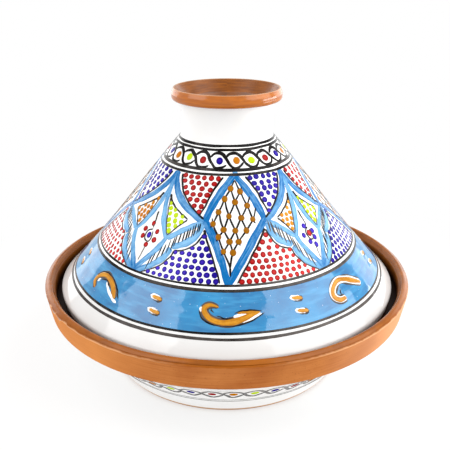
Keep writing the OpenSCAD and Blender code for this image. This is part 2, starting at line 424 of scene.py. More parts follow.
@dataclass(frozen=True)
class BrushPaint:
    """Glaze paint laid on by brush: deep where the brush was full, pale where it ran dry.

    The painted meshes carry three attributes: load, how full the brush was;
    edge, 0 in the middle of a stroke or dab and 1 at its rim, where paint pools;
    and on strokes brush, the place under the bristles, stretched along the pull.

    Attributes:
        name: the material's common name.
        full: colour from a full brush.
        dry: colour from a dry one.
        pool_and_shade: how much deeper it is at a stroke's rim.
        blotch_mm: size of its blotches.
        uneven: how strong they are.
        gloss: how much it shines over the glaze's own shine.
        streak: how strongly the bristles show.
    """

    name: str
    full: str
    dry: str
    pool_and_shade: float = 0.3
    blotch_mm: float = 5.0
    uneven: float = 0.5
    gloss: float = 0.1
    streak: float = 0.0

    def material(self) -> bpy.types.Material:
        """Bristle marks 0.9 mm apart and blotches, between the dry and the full colour.

        Returns:
            The material.
        """
        coat = Surface(self.name, Roughness=0.12, IOR=1.52, Specular_IOR_Level=self.gloss)
        add = coat.add
        load, edge, brush = (add("ShaderNodeAttribute", attribute_name=name).node.outputs
                             for name in ("load", "edge", "brush"))
        pooled_and_shaded = add("ShaderNodeMapRange", edge["Fac"], 0.35, 0.95, -0.3 * self.pool_and_shade, 0.4 * self.pool_and_shade)
        bristles = add("ShaderNodeTexNoise", brush["Vector"], per_mm(0.9), 1.0)
        bristles = add("ShaderNodeMapRange", bristles, 0.3, 0.7, -self.streak / 2, self.streak / 2)
        blotch = add("ShaderNodeTexNoise", coat.place, per_mm(self.blotch_mm), 3.0)
        blotch = add("ShaderNodeMapRange", blotch, 0.3, 0.7, -self.uneven / 2, self.uneven / 2)
        total = add("ShaderNodeMath", pooled_and_shaded, bristles, operation="ADD")
        total = add("ShaderNodeMath", load["Fac"], total, operation="ADD")
        total = add("ShaderNodeMath", total, blotch, operation="ADD", use_clamp=True)
        coat.feed(Base_Color=add("ShaderNodeMix", total, self.dry, self.full, data_type="RGBA"))
        coat.bump((add("ShaderNodeTexNoise", coat.place, per_mm(1.6), 1.0), 0.01))
        return coat.material


class Paint(Enum):
    """The paints on the pot's glaze."""

    BLACK = BrushPaint("black_oxide_line", "#0d0a0a", "#6e6763", pool_and_shade=0.1, uneven=0.3)
    BLUE = BrushPaint("blue_glaze_stroke", "#006aae", "#86bfe8", pool_and_shade=0.35, blotch_mm=3.0,
                      uneven=0.3, gloss=0.15, streak=0.5)
    WHITE = BrushPaint("white_glaze_reserve", "#fdfdfd", "#f2f6f9", pool_and_shade=0.1, uneven=0.2)
    OCHRE = BrushPaint("ochre_glaze_stroke", "#b87400", "#e6a42c", pool_and_shade=0.5, blotch_mm=3.5,
                       gloss=0.25, streak=0.6)
    AMBER = BrushPaint("amber_glaze_dot", "#985e00", "#ba780a")
    ORANGE = BrushPaint("orange_glaze_dot", "#c07200", "#ea9e1e")
    LIME = BrushPaint("lime_glaze_dot", "#bcd800", "#cee206")
    RED = BrushPaint("red_glaze_dot", "#960000", "#de3432", pool_and_shade=1.3, uneven=0.3)
    VIOLET = BrushPaint("violet_glaze_dot", "#160084", "#4e30ce", pool_and_shade=1.3, uneven=0.3)


# Each paint's material, once main has made it.
PAINTS: dict[Paint, bpy.types.Material] = {}


# ---------------------------------------------------------------- painted surfaces


@dataclass
class PaintedWall:
    """A turned, glazed wall, with its outline read from the CAD model's own meshes.

    Attributes:
        nodes: CAD nodes whose outer side is painted.
        downwards: True where slants run from the top down.
        length: slant length in mm that the painted design was drawn for.
        rows: number of heights at which the outline is read.
        radius: the outline's radius at each height, in mm.
        height: the heights in mm, in the order of the slants.
        slant: mm along the wall at each height.
    """

    nodes: tuple[str, ...]
    downwards: bool
    length: float
    rows: int = 360
    radius: np.ndarray = field(init=False)
    height: np.ndarray = field(init=False)
    slant: np.ndarray = field(init=False)

    # Mm left out at each end, the least rise of an edge that is read, and mm either side
    # of a point between which the wall's lean is taken.
    MARGIN = 0.3
    LEVEL = 1e-6
    REACH = 1.5

    def __post_init__(self) -> None:
        """Read the outline and measure along it."""
        low = min(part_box(name)[0].z for name in self.nodes) / MM
        high = max(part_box(name)[1].z for name in self.nodes) / MM
        self.height = np.linspace(low + self.MARGIN, high - self.MARGIN, self.rows)
        self.radius = np.max([self._outline(name) for name in self.nodes], axis=0)
        if self.downwards:
            self.height, self.radius = self.height[::-1], self.radius[::-1]
        steps = np.hypot(np.diff(self.radius), np.diff(self.height))
        self.slant = np.concatenate([[0.0], np.cumsum(steps)])
        self.slant *= self.length / self.slant[-1]

    def _outline(self, name: str) -> np.ndarray:
        """Outer radius of one node at every height, in mm, or 0 where it isn't.

        Args:
            name: the CAD node.

        Returns:
            One radius for each height.
        """
        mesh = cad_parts[name].data
        points = np.empty(len(mesh.vertices) * 3)
        mesh.vertices.foreach_get("co", points)
        points = points.reshape(-1, 3) / MM
        ends = np.empty(len(mesh.edges) * 2, dtype=int)
        mesh.edges.foreach_get("vertices", ends)
        start, stop = points[ends.reshape(-1, 2).T]
        rise = stop[:, 2] - start[:, 2]
        steep = abs(rise) > self.LEVEL
        start, stop, rise = start[steep], stop[steep], rise[steep]
        found = np.zeros(len(self.height))
        for row, height in enumerate(self.height):
            share = (height - start[:, 2]) / rise
            crossing = (share >= 0) & (share <= 1)
            if crossing.any():
                part = share[crossing, None]
                at = start[crossing] * (1 - part) + stop[crossing] * part
                found[row] = np.hypot(at[:, 0], at[:, 1]).max()
        return found

    def place(self, angle: np.ndarray, slant: np.ndarray, lift: np.ndarray | float = 0.0) -> np.ndarray:
        """Points on the wall.

        Args:
            angle: degrees round the pot.
            slant: mm along the wall.
            lift: mm out from the wall.

        Returns:
            An array of points in metres.
        """
        turn = np.radians(angle)
        out, up = self.lean(slant)
        radius = np.interp(slant, self.slant, self.radius) + out * lift
        height = np.interp(slant, self.slant, self.height) + up * lift
        return np.stack([radius * np.sin(turn), -radius * np.cos(turn), height], -1) * MM

    def lean(self, slant: np.ndarray) -> tuple[np.ndarray, np.ndarray]:
        """How the wall's outward normal leans.

        Args:
            slant: mm along the wall.

        Returns:
            The normal's share outwards and its share upwards.
        """
        ahead, behind = slant + self.REACH, slant - self.REACH
        run = np.interp(ahead, self.slant, self.radius) - np.interp(behind, self.slant, self.radius)
        rise = np.interp(ahead, self.slant, self.height) - np.interp(behind, self.slant, self.height)
        size = np.maximum(np.hypot(run, rise), TINY)
        side = -1.0 if self.downwards else 1.0
        return side * rise / size, -side * run / size

    def girth(self, slant: np.ndarray) -> np.ndarray:
        """Millimetres in one degree round the wall, at each slant."""
        return np.interp(slant, self.slant, self.radius) * math.pi / 180


def smooth_path(points: Path, wall: PaintedWall, closed: bool, step: float = 0.9) -> np.ndarray:
    """A curve through (angle, slant) points, with a ring about every step mm.

    Args:
        points: given points.
        wall: the wall that they lie on.
        closed: True for a ring that ends where it starts.
        step: spacing in mm.

    Returns:
        An array of (angle, slant) rows.
    """
    given = np.array(points, float)
    if closed:
        turn = np.array([360.0, 0.0])
        padded = np.concatenate([[given[-1] - turn], given, [given[0] + turn], [given[1] + turn]])
    else:
        padded = np.concatenate([[2 * given[0] - given[1]], given, [2 * given[-1] - given[-2]]])
    rows = []
    for before, here, there, after in zip(padded, padded[1:], padded[2:], padded[3:]):
        gap = (there - here) * np.array([wall.girth(here[1]), 1.0])
        count = max(2, int(np.hypot(*gap) / step))
        part = np.arange(count)[:, None] / count
        rows.append(0.5 * (2 * here + (there - before) * part
                           + (2 * before - 5 * here + 4 * there - after) * part ** 2
                           + (3 * here - before - 3 * there + after) * part ** 3))
    if not closed:
        rows.append(given[-1][None])
    return np.concatenate(rows)


def along(values: tuple[float, ...], part: np.ndarray) -> np.ndarray:
    """Spread a few values evenly along a stroke, and give them at shares of its length."""
    return np.interp(part, np.linspace(0, 1, len(values)), values)


def store(mesh: bpy.types.Mesh, name: str, values: np.ndarray) -> None:
    """Store an attribute on a mesh's points.

    Args:
        mesh: the mesh.
        name: the attribute's name.
        values: one number for each point, or three in a row for each.
    """
    kind, key = ("FLOAT", "value") if len(values) == len(mesh.vertices) else ("FLOAT_VECTOR", "vector")
    mesh.attributes.new(name, kind, "POINT").data.foreach_set(key, values.astype(np.float32))


def put_in_scene(name: str, mesh: bpy.types.Mesh) -> bpy.types.Object:
    """Make an object of a mesh and link it to the scene."""
    piece = bpy.data.objects.new(name, mesh)
    bpy.context.scene.collection.objects.link(piece)
    return piece


@dataclass(frozen=True)
class Stroke:
    """One pull of a brush.

    Attributes:
        path: its points, as the piece that it belongs to gives them.
        width: widths in mm, spread evenly from its start to its end.
        load: how full the brush was, spread in the same way.
        tips: mm over which each end narrows.
        closed: True for a ring round the whole pot.
        wobble: how far a hand strays, in mm.
    """

    path: Path
    width: tuple[float, ...]
    load: tuple[float, ...] = (0.9,)
    tips: tuple[float, float] = (0.8, 0.8)
    closed: bool = False
    wobble: float = 0.25


@dataclass
class BrushWork:
    """Every stroke in one paint on one wall, as one mesh of thin raised ribbons.

    Attributes:
        name: the piece's name.
        wall: the wall that it lies on.
        paint: the paint.
        lift: height of the paint over the glaze, in mm.
        strokes: the strokes, in painting order.
    """

    name: str
    wall: PaintedWall
    paint: Paint
    lift: float
    strokes: list[Stroke] = field(default_factory=list)

    # A cross-section: shares of the half width and of the height, and mm sunk into the glaze.
    ACROSS = np.array([-1.0, -0.93, -0.5, 0.0, 0.5, 0.93, 1.0])
    DOME = np.array([0.0, 0.9, 1.0, 1.0, 1.0, 0.9, 0.0])
    SUNK = 0.04
    # Mm that each later stroke lies higher, and after how many strokes that starts again.
    OVERLAP = 0.008
    LAYERS = 5
    # Waves round a ring, how much the waves change a stroke's width and load, and the
    # least share of its width at a tip.
    RING_WAVES = np.array([2, 5, 9, 16])
    WIDTH_SWING = 0.16
    LOAD_SWING = 0.12
    NARROWEST = 0.04
    # How far bristle marks are stretched along a pull, and mm between strokes in their texture.
    STRETCH = 0.06
    APART = 3.0

    def pull(self, stroke: Stroke, path: Path) -> None:
        """Add a stroke like the given one, along (angle, slant) points."""
        self.strokes.append(replace(stroke, path=path))

    def _ribbon(self, stroke: Stroke, order: int,
                hand: np.random.Generator) -> tuple[np.ndarray, np.ndarray, np.ndarray]:
        """Cross-sections of one stroke.

        Args:
            stroke: the stroke.
            order: its place in the painting order, which lifts it a hair.
            hand: the source of wobble.

        Returns:
            Points as (rings, across, 3), brush loads as (rings,) and places under
            the brush like the points.
        """
        rows = smooth_path(stroke.path, self.wall, stroke.closed)
        angle, slant = rows.T
        girth = self.wall.girth(slant)
        if stroke.closed:
            run = np.roll(angle, -1) - np.roll(angle, 1)
            run[0] += 360
            run[-1] += 360
            fall = np.roll(slant, -1) - np.roll(slant, 1)
        else:
            run, fall = np.gradient(angle), np.gradient(slant)
        run = run * girth
        size = np.maximum(np.hypot(run, fall), TINY)
        run, fall = run / size, fall / size
        steps = np.hypot(np.diff(angle) * girth[1:], np.diff(slant))
        walked = np.concatenate([[0.0], np.cumsum(steps)])
        part = walked / walked[-1]
        width = along(stroke.width, part)
        waves = 2 * math.pi * (np.arange(1, 5)[:, None] * part + hand.random((4, 1)))
        if stroke.closed:
            waves = 2 * math.pi * (self.RING_WAVES[:, None] * part + hand.random((4, 1)))
        stray = np.sin(waves).mean(0)
        width = width * (1 + self.WIDTH_SWING * np.roll(stray, len(stray) // 3))
        if not stroke.closed:
            for gone, tip in ((walked, stroke.tips[0]), (walked[-1] - walked, stroke.tips[1])):
                share = np.clip(gone / tip, 0, 1)
                width = width * np.sqrt(1 - (1 - share) ** 2).clip(self.NARROWEST, 1)
        offset = self.ACROSS[None] * width[:, None] / 2 + stroke.wobble * stray[:, None]
        at_angle = angle[:, None] - offset * (fall / girth)[:, None]
        at_slant = slant[:, None] + offset * run[:, None]
        top = self.lift + self.OVERLAP * (order % self.LAYERS)
        lift = np.broadcast_to(self.DOME * (top + self.SUNK) - self.SUNK, at_angle.shape)
        load = along(stroke.load, part) + self.LOAD_SWING * np.sin(waves[::-1]).mean(0)
        under = np.stack([offset, np.broadcast_to(walked[:, None] * self.STRETCH, offset.shape),
                          np.full(offset.shape, self.APART * order)], -1) * MM
        return self.wall.place(at_angle, at_slant, lift), load, under

    def build(self) -> bpy.types.Object:
        """Make the mesh with its paint.

        Returns:
            The painted object, with load, edge and brush attributes.
        """
        hand = np.random.default_rng(SEED)
        points, faces, loads, edges, places = [], [], [], [], []
        start, across = 0, len(self.ACROSS)
        for order, stroke in enumerate(self.strokes):
            ribbon, load, under = self._ribbon(stroke, order, hand)
            rings = len(ribbon)
            index = start + np.arange(rings * across).reshape(rings, across)
            here, there = index[:-1], index[1:]
            if stroke.closed:
                here, there = index, np.roll(index, -1, 0)
            quads = np.stack([here, np.roll(here, -1, 1), np.roll(there, -1, 1), there], -1)
            faces += quads.reshape(-1, 4).tolist()
            if not stroke.closed:
                faces += [index[0].tolist(), index[-1][::-1].tolist()]
            points.append(ribbon.reshape(-1, 3))
            loads.append(np.repeat(load, across))
            edges.append(np.tile(abs(self.ACROSS), rings))
            places.append(under.reshape(-1))
            start += rings * across
        mesh = bpy.data.meshes.new(self.name)
        mesh.from_pydata(np.concatenate(points).tolist(), [], faces)
        store(mesh, "load", np.concatenate(loads))
        store(mesh, "edge", np.concatenate(edges))
        store(mesh, "brush", np.concatenate(places))
        return self._finish(mesh)

    def _finish(self, mesh: bpy.types.Mesh) -> bpy.types.Object:
        """Turn the faces outwards, smooth them, paint them and put them in the scene.

        Args:
            mesh: the strokes' closed shells.

        Returns:
            The new object, riding on nothing yet.
        """
        work = bmesh.new()
        work.from_mesh(mesh)
        bmesh.ops.recalc_face_normals(work, faces=work.faces)
        work.to_mesh(mesh)
        work.free()
        mesh.shade_smooth()
        mesh.materials.append(PAINTS[self.paint])
        return put_in_scene(self.name, mesh)


def take_off_shine(piece: bpy.types.Object) -> None:
    """Give a painted piece its own matt copy of its paint.

    Args:
        piece: the painted piece.
    """
    for index, paint in enumerate(piece.data.materials):
        if paint:
            matt = paint.copy()
            matt.name = paint.name + "_matt"
            matt.node_tree.nodes["Principled BSDF"].inputs["Specular IOR Level"].default_value = 0.0
            piece.data.materials[index] = matt


@dataclass(frozen=True)
class Dab:
    """One touch of a brush: a dot, a petal or a short tick.

    Attributes:
        angle: degrees round the pot.
        slant: mm along the wall.
        wide: width in mm.
        long: length in mm.
        turn: degrees from the way down the wall, positive to the right.
        load: how full the brush was.
    """

    angle: float
    slant: float
    wide: float = 3.3
    long: float = 3.3
    turn: float = 0.0
    load: float = 0.8


@dataclass
class DabWork:
    """Every dab in one paint on one wall, instanced by Geometry Nodes.

    Attributes:
        name: the piece's name.
        wall: the wall that it lies on.
        paint: the paint.
        lift: height of a dab's crown over the glaze, in mm.
        uneven: how much a dab's length and width vary.
        dabs: the dabs.
    """

    name: str
    wall: PaintedWall
    paint: Paint
    lift: float = 0.16
    uneven: float = 0.1
    dabs: list[Dab] = field(default_factory=list)

    def build(self) -> bpy.types.Object:
        """Place a point for each dab, run the tree and bake the result.

        Returns:
            The painted object.
        """
        slant = np.array([dab.slant for dab in self.dabs])
        places = self.wall.place(np.array([dab.angle for dab in self.dabs]), slant)
        mesh = bpy.data.meshes.new(self.name)
        mesh.from_pydata(places.tolist(), [], [])
        turns = [self._turn(dab, out, up) for dab, out, up in zip(self.dabs, *self.wall.lean(slant))]
        sizes = [(dab.wide / 2 * MM, dab.long / 2 * MM, self.lift * MM) for dab in self.dabs]
        store(mesh, "turn", np.ravel(turns))
        store(mesh, "size", np.ravel(sizes))
        store(mesh, "load", np.array([dab.load for dab in self.dabs]))
        points = put_in_scene(self.name + "_points", mesh)
        modifier = points.modifiers.new("dabs", "NODES")
        modifier.node_group = dab_tree()
        inputs = {"Uneven": self.uneven, "Seed": SEED, "Material": PAINTS[self.paint]}
        for item in modifier.node_group.interface.items_tree:
            if item.name in inputs:
                modifier[item.identifier] = inputs[item.name]
        found = points.evaluated_get(bpy.context.evaluated_depsgraph_get())
        baked = bpy.data.meshes.new_from_object(found)
        bpy.data.objects.remove(points)
        baked.name = self.name
        return put_in_scene(self.name, baked)

    def _turn(self, dab: Dab, out: float, up: float) -> Euler:
        """How one dab is turned: flat on the wall and along its pull.

        Args:
            dab: the dab.
            out: the wall's normal there, its share outwards.
            up: the same, its share upwards.

        Returns:
            The turn.
        """
        around = math.radians(dab.angle)
        normal = Vector((out * math.sin(around), -out * math.cos(around), up))
        right = Vector((math.cos(around), math.sin(around), 0))
        down = right.cross(normal) if self.wall.downwards else normal.cross(right)
        lean = math.radians(dab.turn)
        way = down * math.cos(lean) + right * math.sin(lean)
        return Matrix((way.cross(normal), way, normal)).transposed().to_euler()


def dab_tree() -> bpy.types.NodeTree:
    """The Geometry Nodes tree that sets a flat rounded dab on each point.

    Returns:
        The tree, made once and used for every paint.
    """
    if "painted_dabs" in bpy.data.node_groups:
        return bpy.data.node_groups["painted_dabs"]
    tree = bpy.data.node_groups.new("painted_dabs", "GeometryNodeTree")
    sockets = (("Points", "Geometry"), ("Uneven", "Float"), ("Seed", "Int"), ("Material", "Material"))
    for name, kind in sockets:
        tree.interface.new_socket(name, in_out="INPUT", socket_type="NodeSocket" + kind)
    tree.interface.new_socket("Dabs", in_out="OUTPUT", socket_type="NodeSocketGeometry")
    add = partial(add_node, tree)
    given = add("NodeGroupInput").node.outputs
    flat = add("ShaderNodeVectorMath", add("GeometryNodeInputPosition"), (1, 1, 0), operation="MULTIPLY")
    edge = add("ShaderNodeVectorMath", flat, operation="LENGTH")
    dab = add("GeometryNodeMeshUVSphere", 12, 6, 1.0)
    dab = add("GeometryNodeStoreNamedAttribute", dab, None, "edge", edge, data_type="FLOAT", domain="POINT")
    turn, size = (add("GeometryNodeInputNamedAttribute", name, data_type="FLOAT_VECTOR")
                  for name in ("turn", "size"))
    less = add("ShaderNodeMath", 1.0, given["Uneven"], operation="SUBTRACT")
    more = add("ShaderNodeMath", 1.0, given["Uneven"], operation="ADD")
    low = add("ShaderNodeCombineXYZ", less, less, 1.0)
    high = add("ShaderNodeCombineXYZ", more, more, 1.0)
    vary = add("FunctionNodeRandomValue", low, high, None, given["Seed"], data_type="FLOAT_VECTOR")
    size = add("ShaderNodeVectorMath", size, vary, operation="MULTIPLY")
    turn = add("FunctionNodeEulerToRotation", turn)
    dabs = add("GeometryNodeInstanceOnPoints", given["Points"], None, dab, None, None, turn, size)
    dabs = add("GeometryNodeRealizeInstances", dabs)
    dabs = add("GeometryNodeSetShadeSmooth", dabs)
    add("NodeGroupOutput", add("GeometryNodeSetMaterial", dabs, None, given["Material"]))
    return tree


# ---------------------------------------------------------------- motifs


@dataclass(frozen=True)
class Span:
    """Where one motif stands on the lid.

    Across runs from -1 at the left end of its waist to 1 at the right end.

    Attributes:
        left: angle of the waist's left end.
        right: angle of the waist's right end.
        top: angle of its top point.
        foot: angle of its foot.
        left_sag: how far the waist's left end hangs under WAIST, in mm.
        right_sag: the same for its right end.
    """

    left: float
    right: float
    top: float
    foot: float
    left_sag: float = 0.0
    right_sag: float = 0.0

    TOP = 24.5
    WAIST = 60.0
    FOOT = 105.5
    SAG_REACH = 40.0

    def is_pale(self) -> bool:
        """Whether it stands on the right half, which was painted with a drier brush."""
        return 0 < self.left < 180

    def turned(self, degrees: float) -> "Span":
        """The same span, some degrees further round."""
        places = {key: getattr(self, key) + degrees for key in ("left", "right", "top", "foot")}
        return replace(self, **places)

    def angle(self, across: float, slant: float) -> float:
        """The angle of a point of the motif.

        Args:
            across: share of the half width.
            slant: mm down the cone.

        Returns:
            Degrees round the pot.
        """
        middle = (self.left + self.right) / 2
        if slant < self.WAIST:
            share = (slant - self.TOP) / (self.WAIST - self.TOP)
            centre = self.top + (middle - self.top) * share
        else:
            share = (slant - self.WAIST) / (self.FOOT - self.WAIST)
            centre = middle + (self.foot - middle) * share
        return centre + across * (self.right - self.left) / 2

    def hang(self, across: float, slant: float) -> float:
        """The slant of a point once the waist's ends have sagged.

        Args:
            across: share of the half width.
            slant: mm down the cone as designed.

        Returns:
            Mm down the cone as painted.
        """
        sag = self.left_sag if across < 0 else self.right_sag
        near = max(0.0, 1 - abs(slant - self.WAIST) / self.SAG_REACH)
        return slant + sag * min(abs(across), 1.0) * near

    def path(self, points: Path, side: int = 1) -> Path:
        """Turn (across, slant) points into (angle, slant) points, mirrored where side is -1."""
        return [(self.angle(side * across, slant), self.hang(side * across, slant))
                for across, slant in points]

    def set_down(self, dab: Dab, across: float, slant: float) -> Dab:
        """A dab like the given one at a point of the motif."""
        return replace(dab, angle=self.angle(across, slant), slant=slant)

    def line(self, strokes: tuple[Stroke, ...], side: int = 1) -> Path:
        """One line along strokes that lie end to end, mirrored where side is -1."""
        first, *rest = strokes
        return self.path(first.path + [point for stroke in rest for point in stroke.path[1:]], side)

    def trace(self, work: BrushWork, strokes: tuple[Stroke, ...], side: int = 1) -> None:
        """Add strokes of the motif to a brush work, mirrored where side is -1."""
        for stroke in strokes:
            work.pull(stroke, self.path(stroke.path, side))


@dataclass(frozen=True)
class DottedField:
    """A field filled with rows of dots.

    Attributes:
        rows: slants of the rows.
        gap: distance between dots in a row, in mm.
        inset: distance from a bounding line to the nearest dot's middle, in mm.
        dot: the dot to repeat.
        fade: brush load taken off at a row's left end, at its right end and in the last row.
    """

    rows: tuple[float, ...]
    gap: float
    inset: float
    dot: Dab
    fade: tuple[float, float, float] = (0.0, 0.0, 0.0)

    # How far a hand strays: mm along a row, mm across it, and in brush load.
    ALONG = 0.16
    ACROSS = 0.18
    LOAD = 0.07
    # Size of a dot from a dry brush, what a full one adds, and the insets of overlap
    # between the two lines past which a row is left out.
    DRY_SIZE = 0.74
    FULL_SIZE = 0.26
    OVERLAP = 1.5

    def fill(self, wall: PaintedWall, lines: tuple[Path, Path], hand: np.random.Generator) -> list[Dab]:
        """Lay the dots between two lines.

        Args:
            wall: the wall.
            lines: (angle, slant) points of the left line and of the right line, from
                the top down.
            hand: the source of unevenness.

        Returns:
            The dots.
        """
        left, right = (np.array(line).T for line in lines)
        dots = []
        for row, slant in enumerate(self.rows):
            girth = float(wall.girth(slant))
            start = float(np.interp(slant, left[1], left[0])) + self.inset / girth
            stop = float(np.interp(slant, right[1], right[0])) - self.inset / girth
            room = (stop - start) * girth
            if room < -self.OVERLAP * self.inset:
                continue
            count = int(max(room, 0) / self.gap + 0.2) + 1
            for index in range(count):
                share = index / (count - 1) if count > 1 else 0.5
                angle = start + (stop - start) * share + hand.normal(0, self.ALONG) / girth
                load = self.dot.load - self.fade[0] * (1 - share) - self.fade[1] * share
                load = load - self.fade[2] * row / len(self.rows) + hand.normal(0, self.LOAD)
                size = self.DRY_SIZE + self.FULL_SIZE * load
                dots.append(Dab(angle, slant + hand.normal(0, self.ACROSS), self.dot.wide * size,
                                self.dot.long * size, self.dot.turn, load))
        return dots


@dataclass(frozen=True)
class Crescent:
    """One crescent of the band, in degrees from its middle and mm down the cone.

    Attributes:
        ochre: the crescent itself.
        width: its widths in mm.
        white: reserves left white beside it.
        black: short dark edges.
        halo: width of white round the whole crescent, in mm.
        branch: a second, thinner ochre stroke that joins its tip.
    """

    ochre: Path
    width: tuple[float, ...]
    white: list[Path]
    black: list[Path]
    halo: float = 0.4
    branch: Path | None = None


HOOK = Crescent(
    [(-2.8, 121.0), (-4.4, 119.8), (-6.4, 119.6), (-7.7, 122.2), (-7.0, 126.2), (-5.0, 129.6),
     (-1.6, 131.4), (2.2, 130.9), (5.4, 128.6), (8.2, 126.4), (11.0, 125.2)],
    (1.0, 2.6, 3.6, 3.8, 3.8, 4.0, 4.4, 4.8, 4.6, 3.2, 1.2),
    [[(2.0, 127.6), (3.8, 126.4), (6.4, 125.8)], [(4.8, 131.0), (8.2, 128.9), (11.6, 125.8)],
     [(-8.9, 120.8), (-8.9, 124.6)]],
    [[(-5.4, 121.4), (-5.4, 123.0), (-4.4, 124.6)],
     [(-9.4, 123.0), (-8.4, 128.4), (-5.6, 132.2), (-1.6, 133.8)],
     [(-1.6, 133.8), (3.4, 133.2), (8.2, 130.4), (12.4, 125.6)],
     [(-3.4, 126.6), (-0.6, 128.6), (2.0, 128.0)],
     [(2.4, 125.4), (4.4, 123.6), (8.0, 123.2), (11.8, 124.4)]],
    branch=[(3.6, 125.0), (6.2, 124.4), (9.0, 124.6), (11.2, 125.1)])
LEFT_ARCH = Crescent(
    [(-3.6, 131.5), (-6.0, 127.0), (-5.1, 122.0), (-1.8, 118.8), (1.4, 119.4), (5.2, 122.8),
     (7.7, 127.6), (9.0, 130.6)],
    (1.8, 3.0, 3.6, 3.8, 4.2, 4.4, 4.0, 2.4),
    [[(1.0, 122.4), (3.6, 126.4), (7.0, 130.0), (10.6, 132.6)], [(-4.6, 126.4), (-3.2, 123.0)]],
    [[(-7.0, 123.0), (-4.4, 118.2), (-0.6, 116.6), (3.6, 118.0)],
     [(3.6, 118.0), (8.0, 123.4), (10.4, 129.4)], [(-2.6, 123.2), (0.6, 121.6), (3.0, 124.4)]])
RIGHT_ARCH = Crescent(
    [(-5.6, 131.4), (-8.6, 131.2), (-10.6, 127.8), (-10.0, 123.0), (-7.2, 118.9), (-4.2, 118.2),
     (-0.4, 120.8), (3.4, 125.2), (6.6, 129.0)],
    (2.4, 3.8, 4.2, 4.0, 3.6, 3.8, 4.4, 4.2, 2.6), [],
    [[(-7.2, 128.6), (-7.0, 126.4), (-6.2, 124.6)]], 1.9)


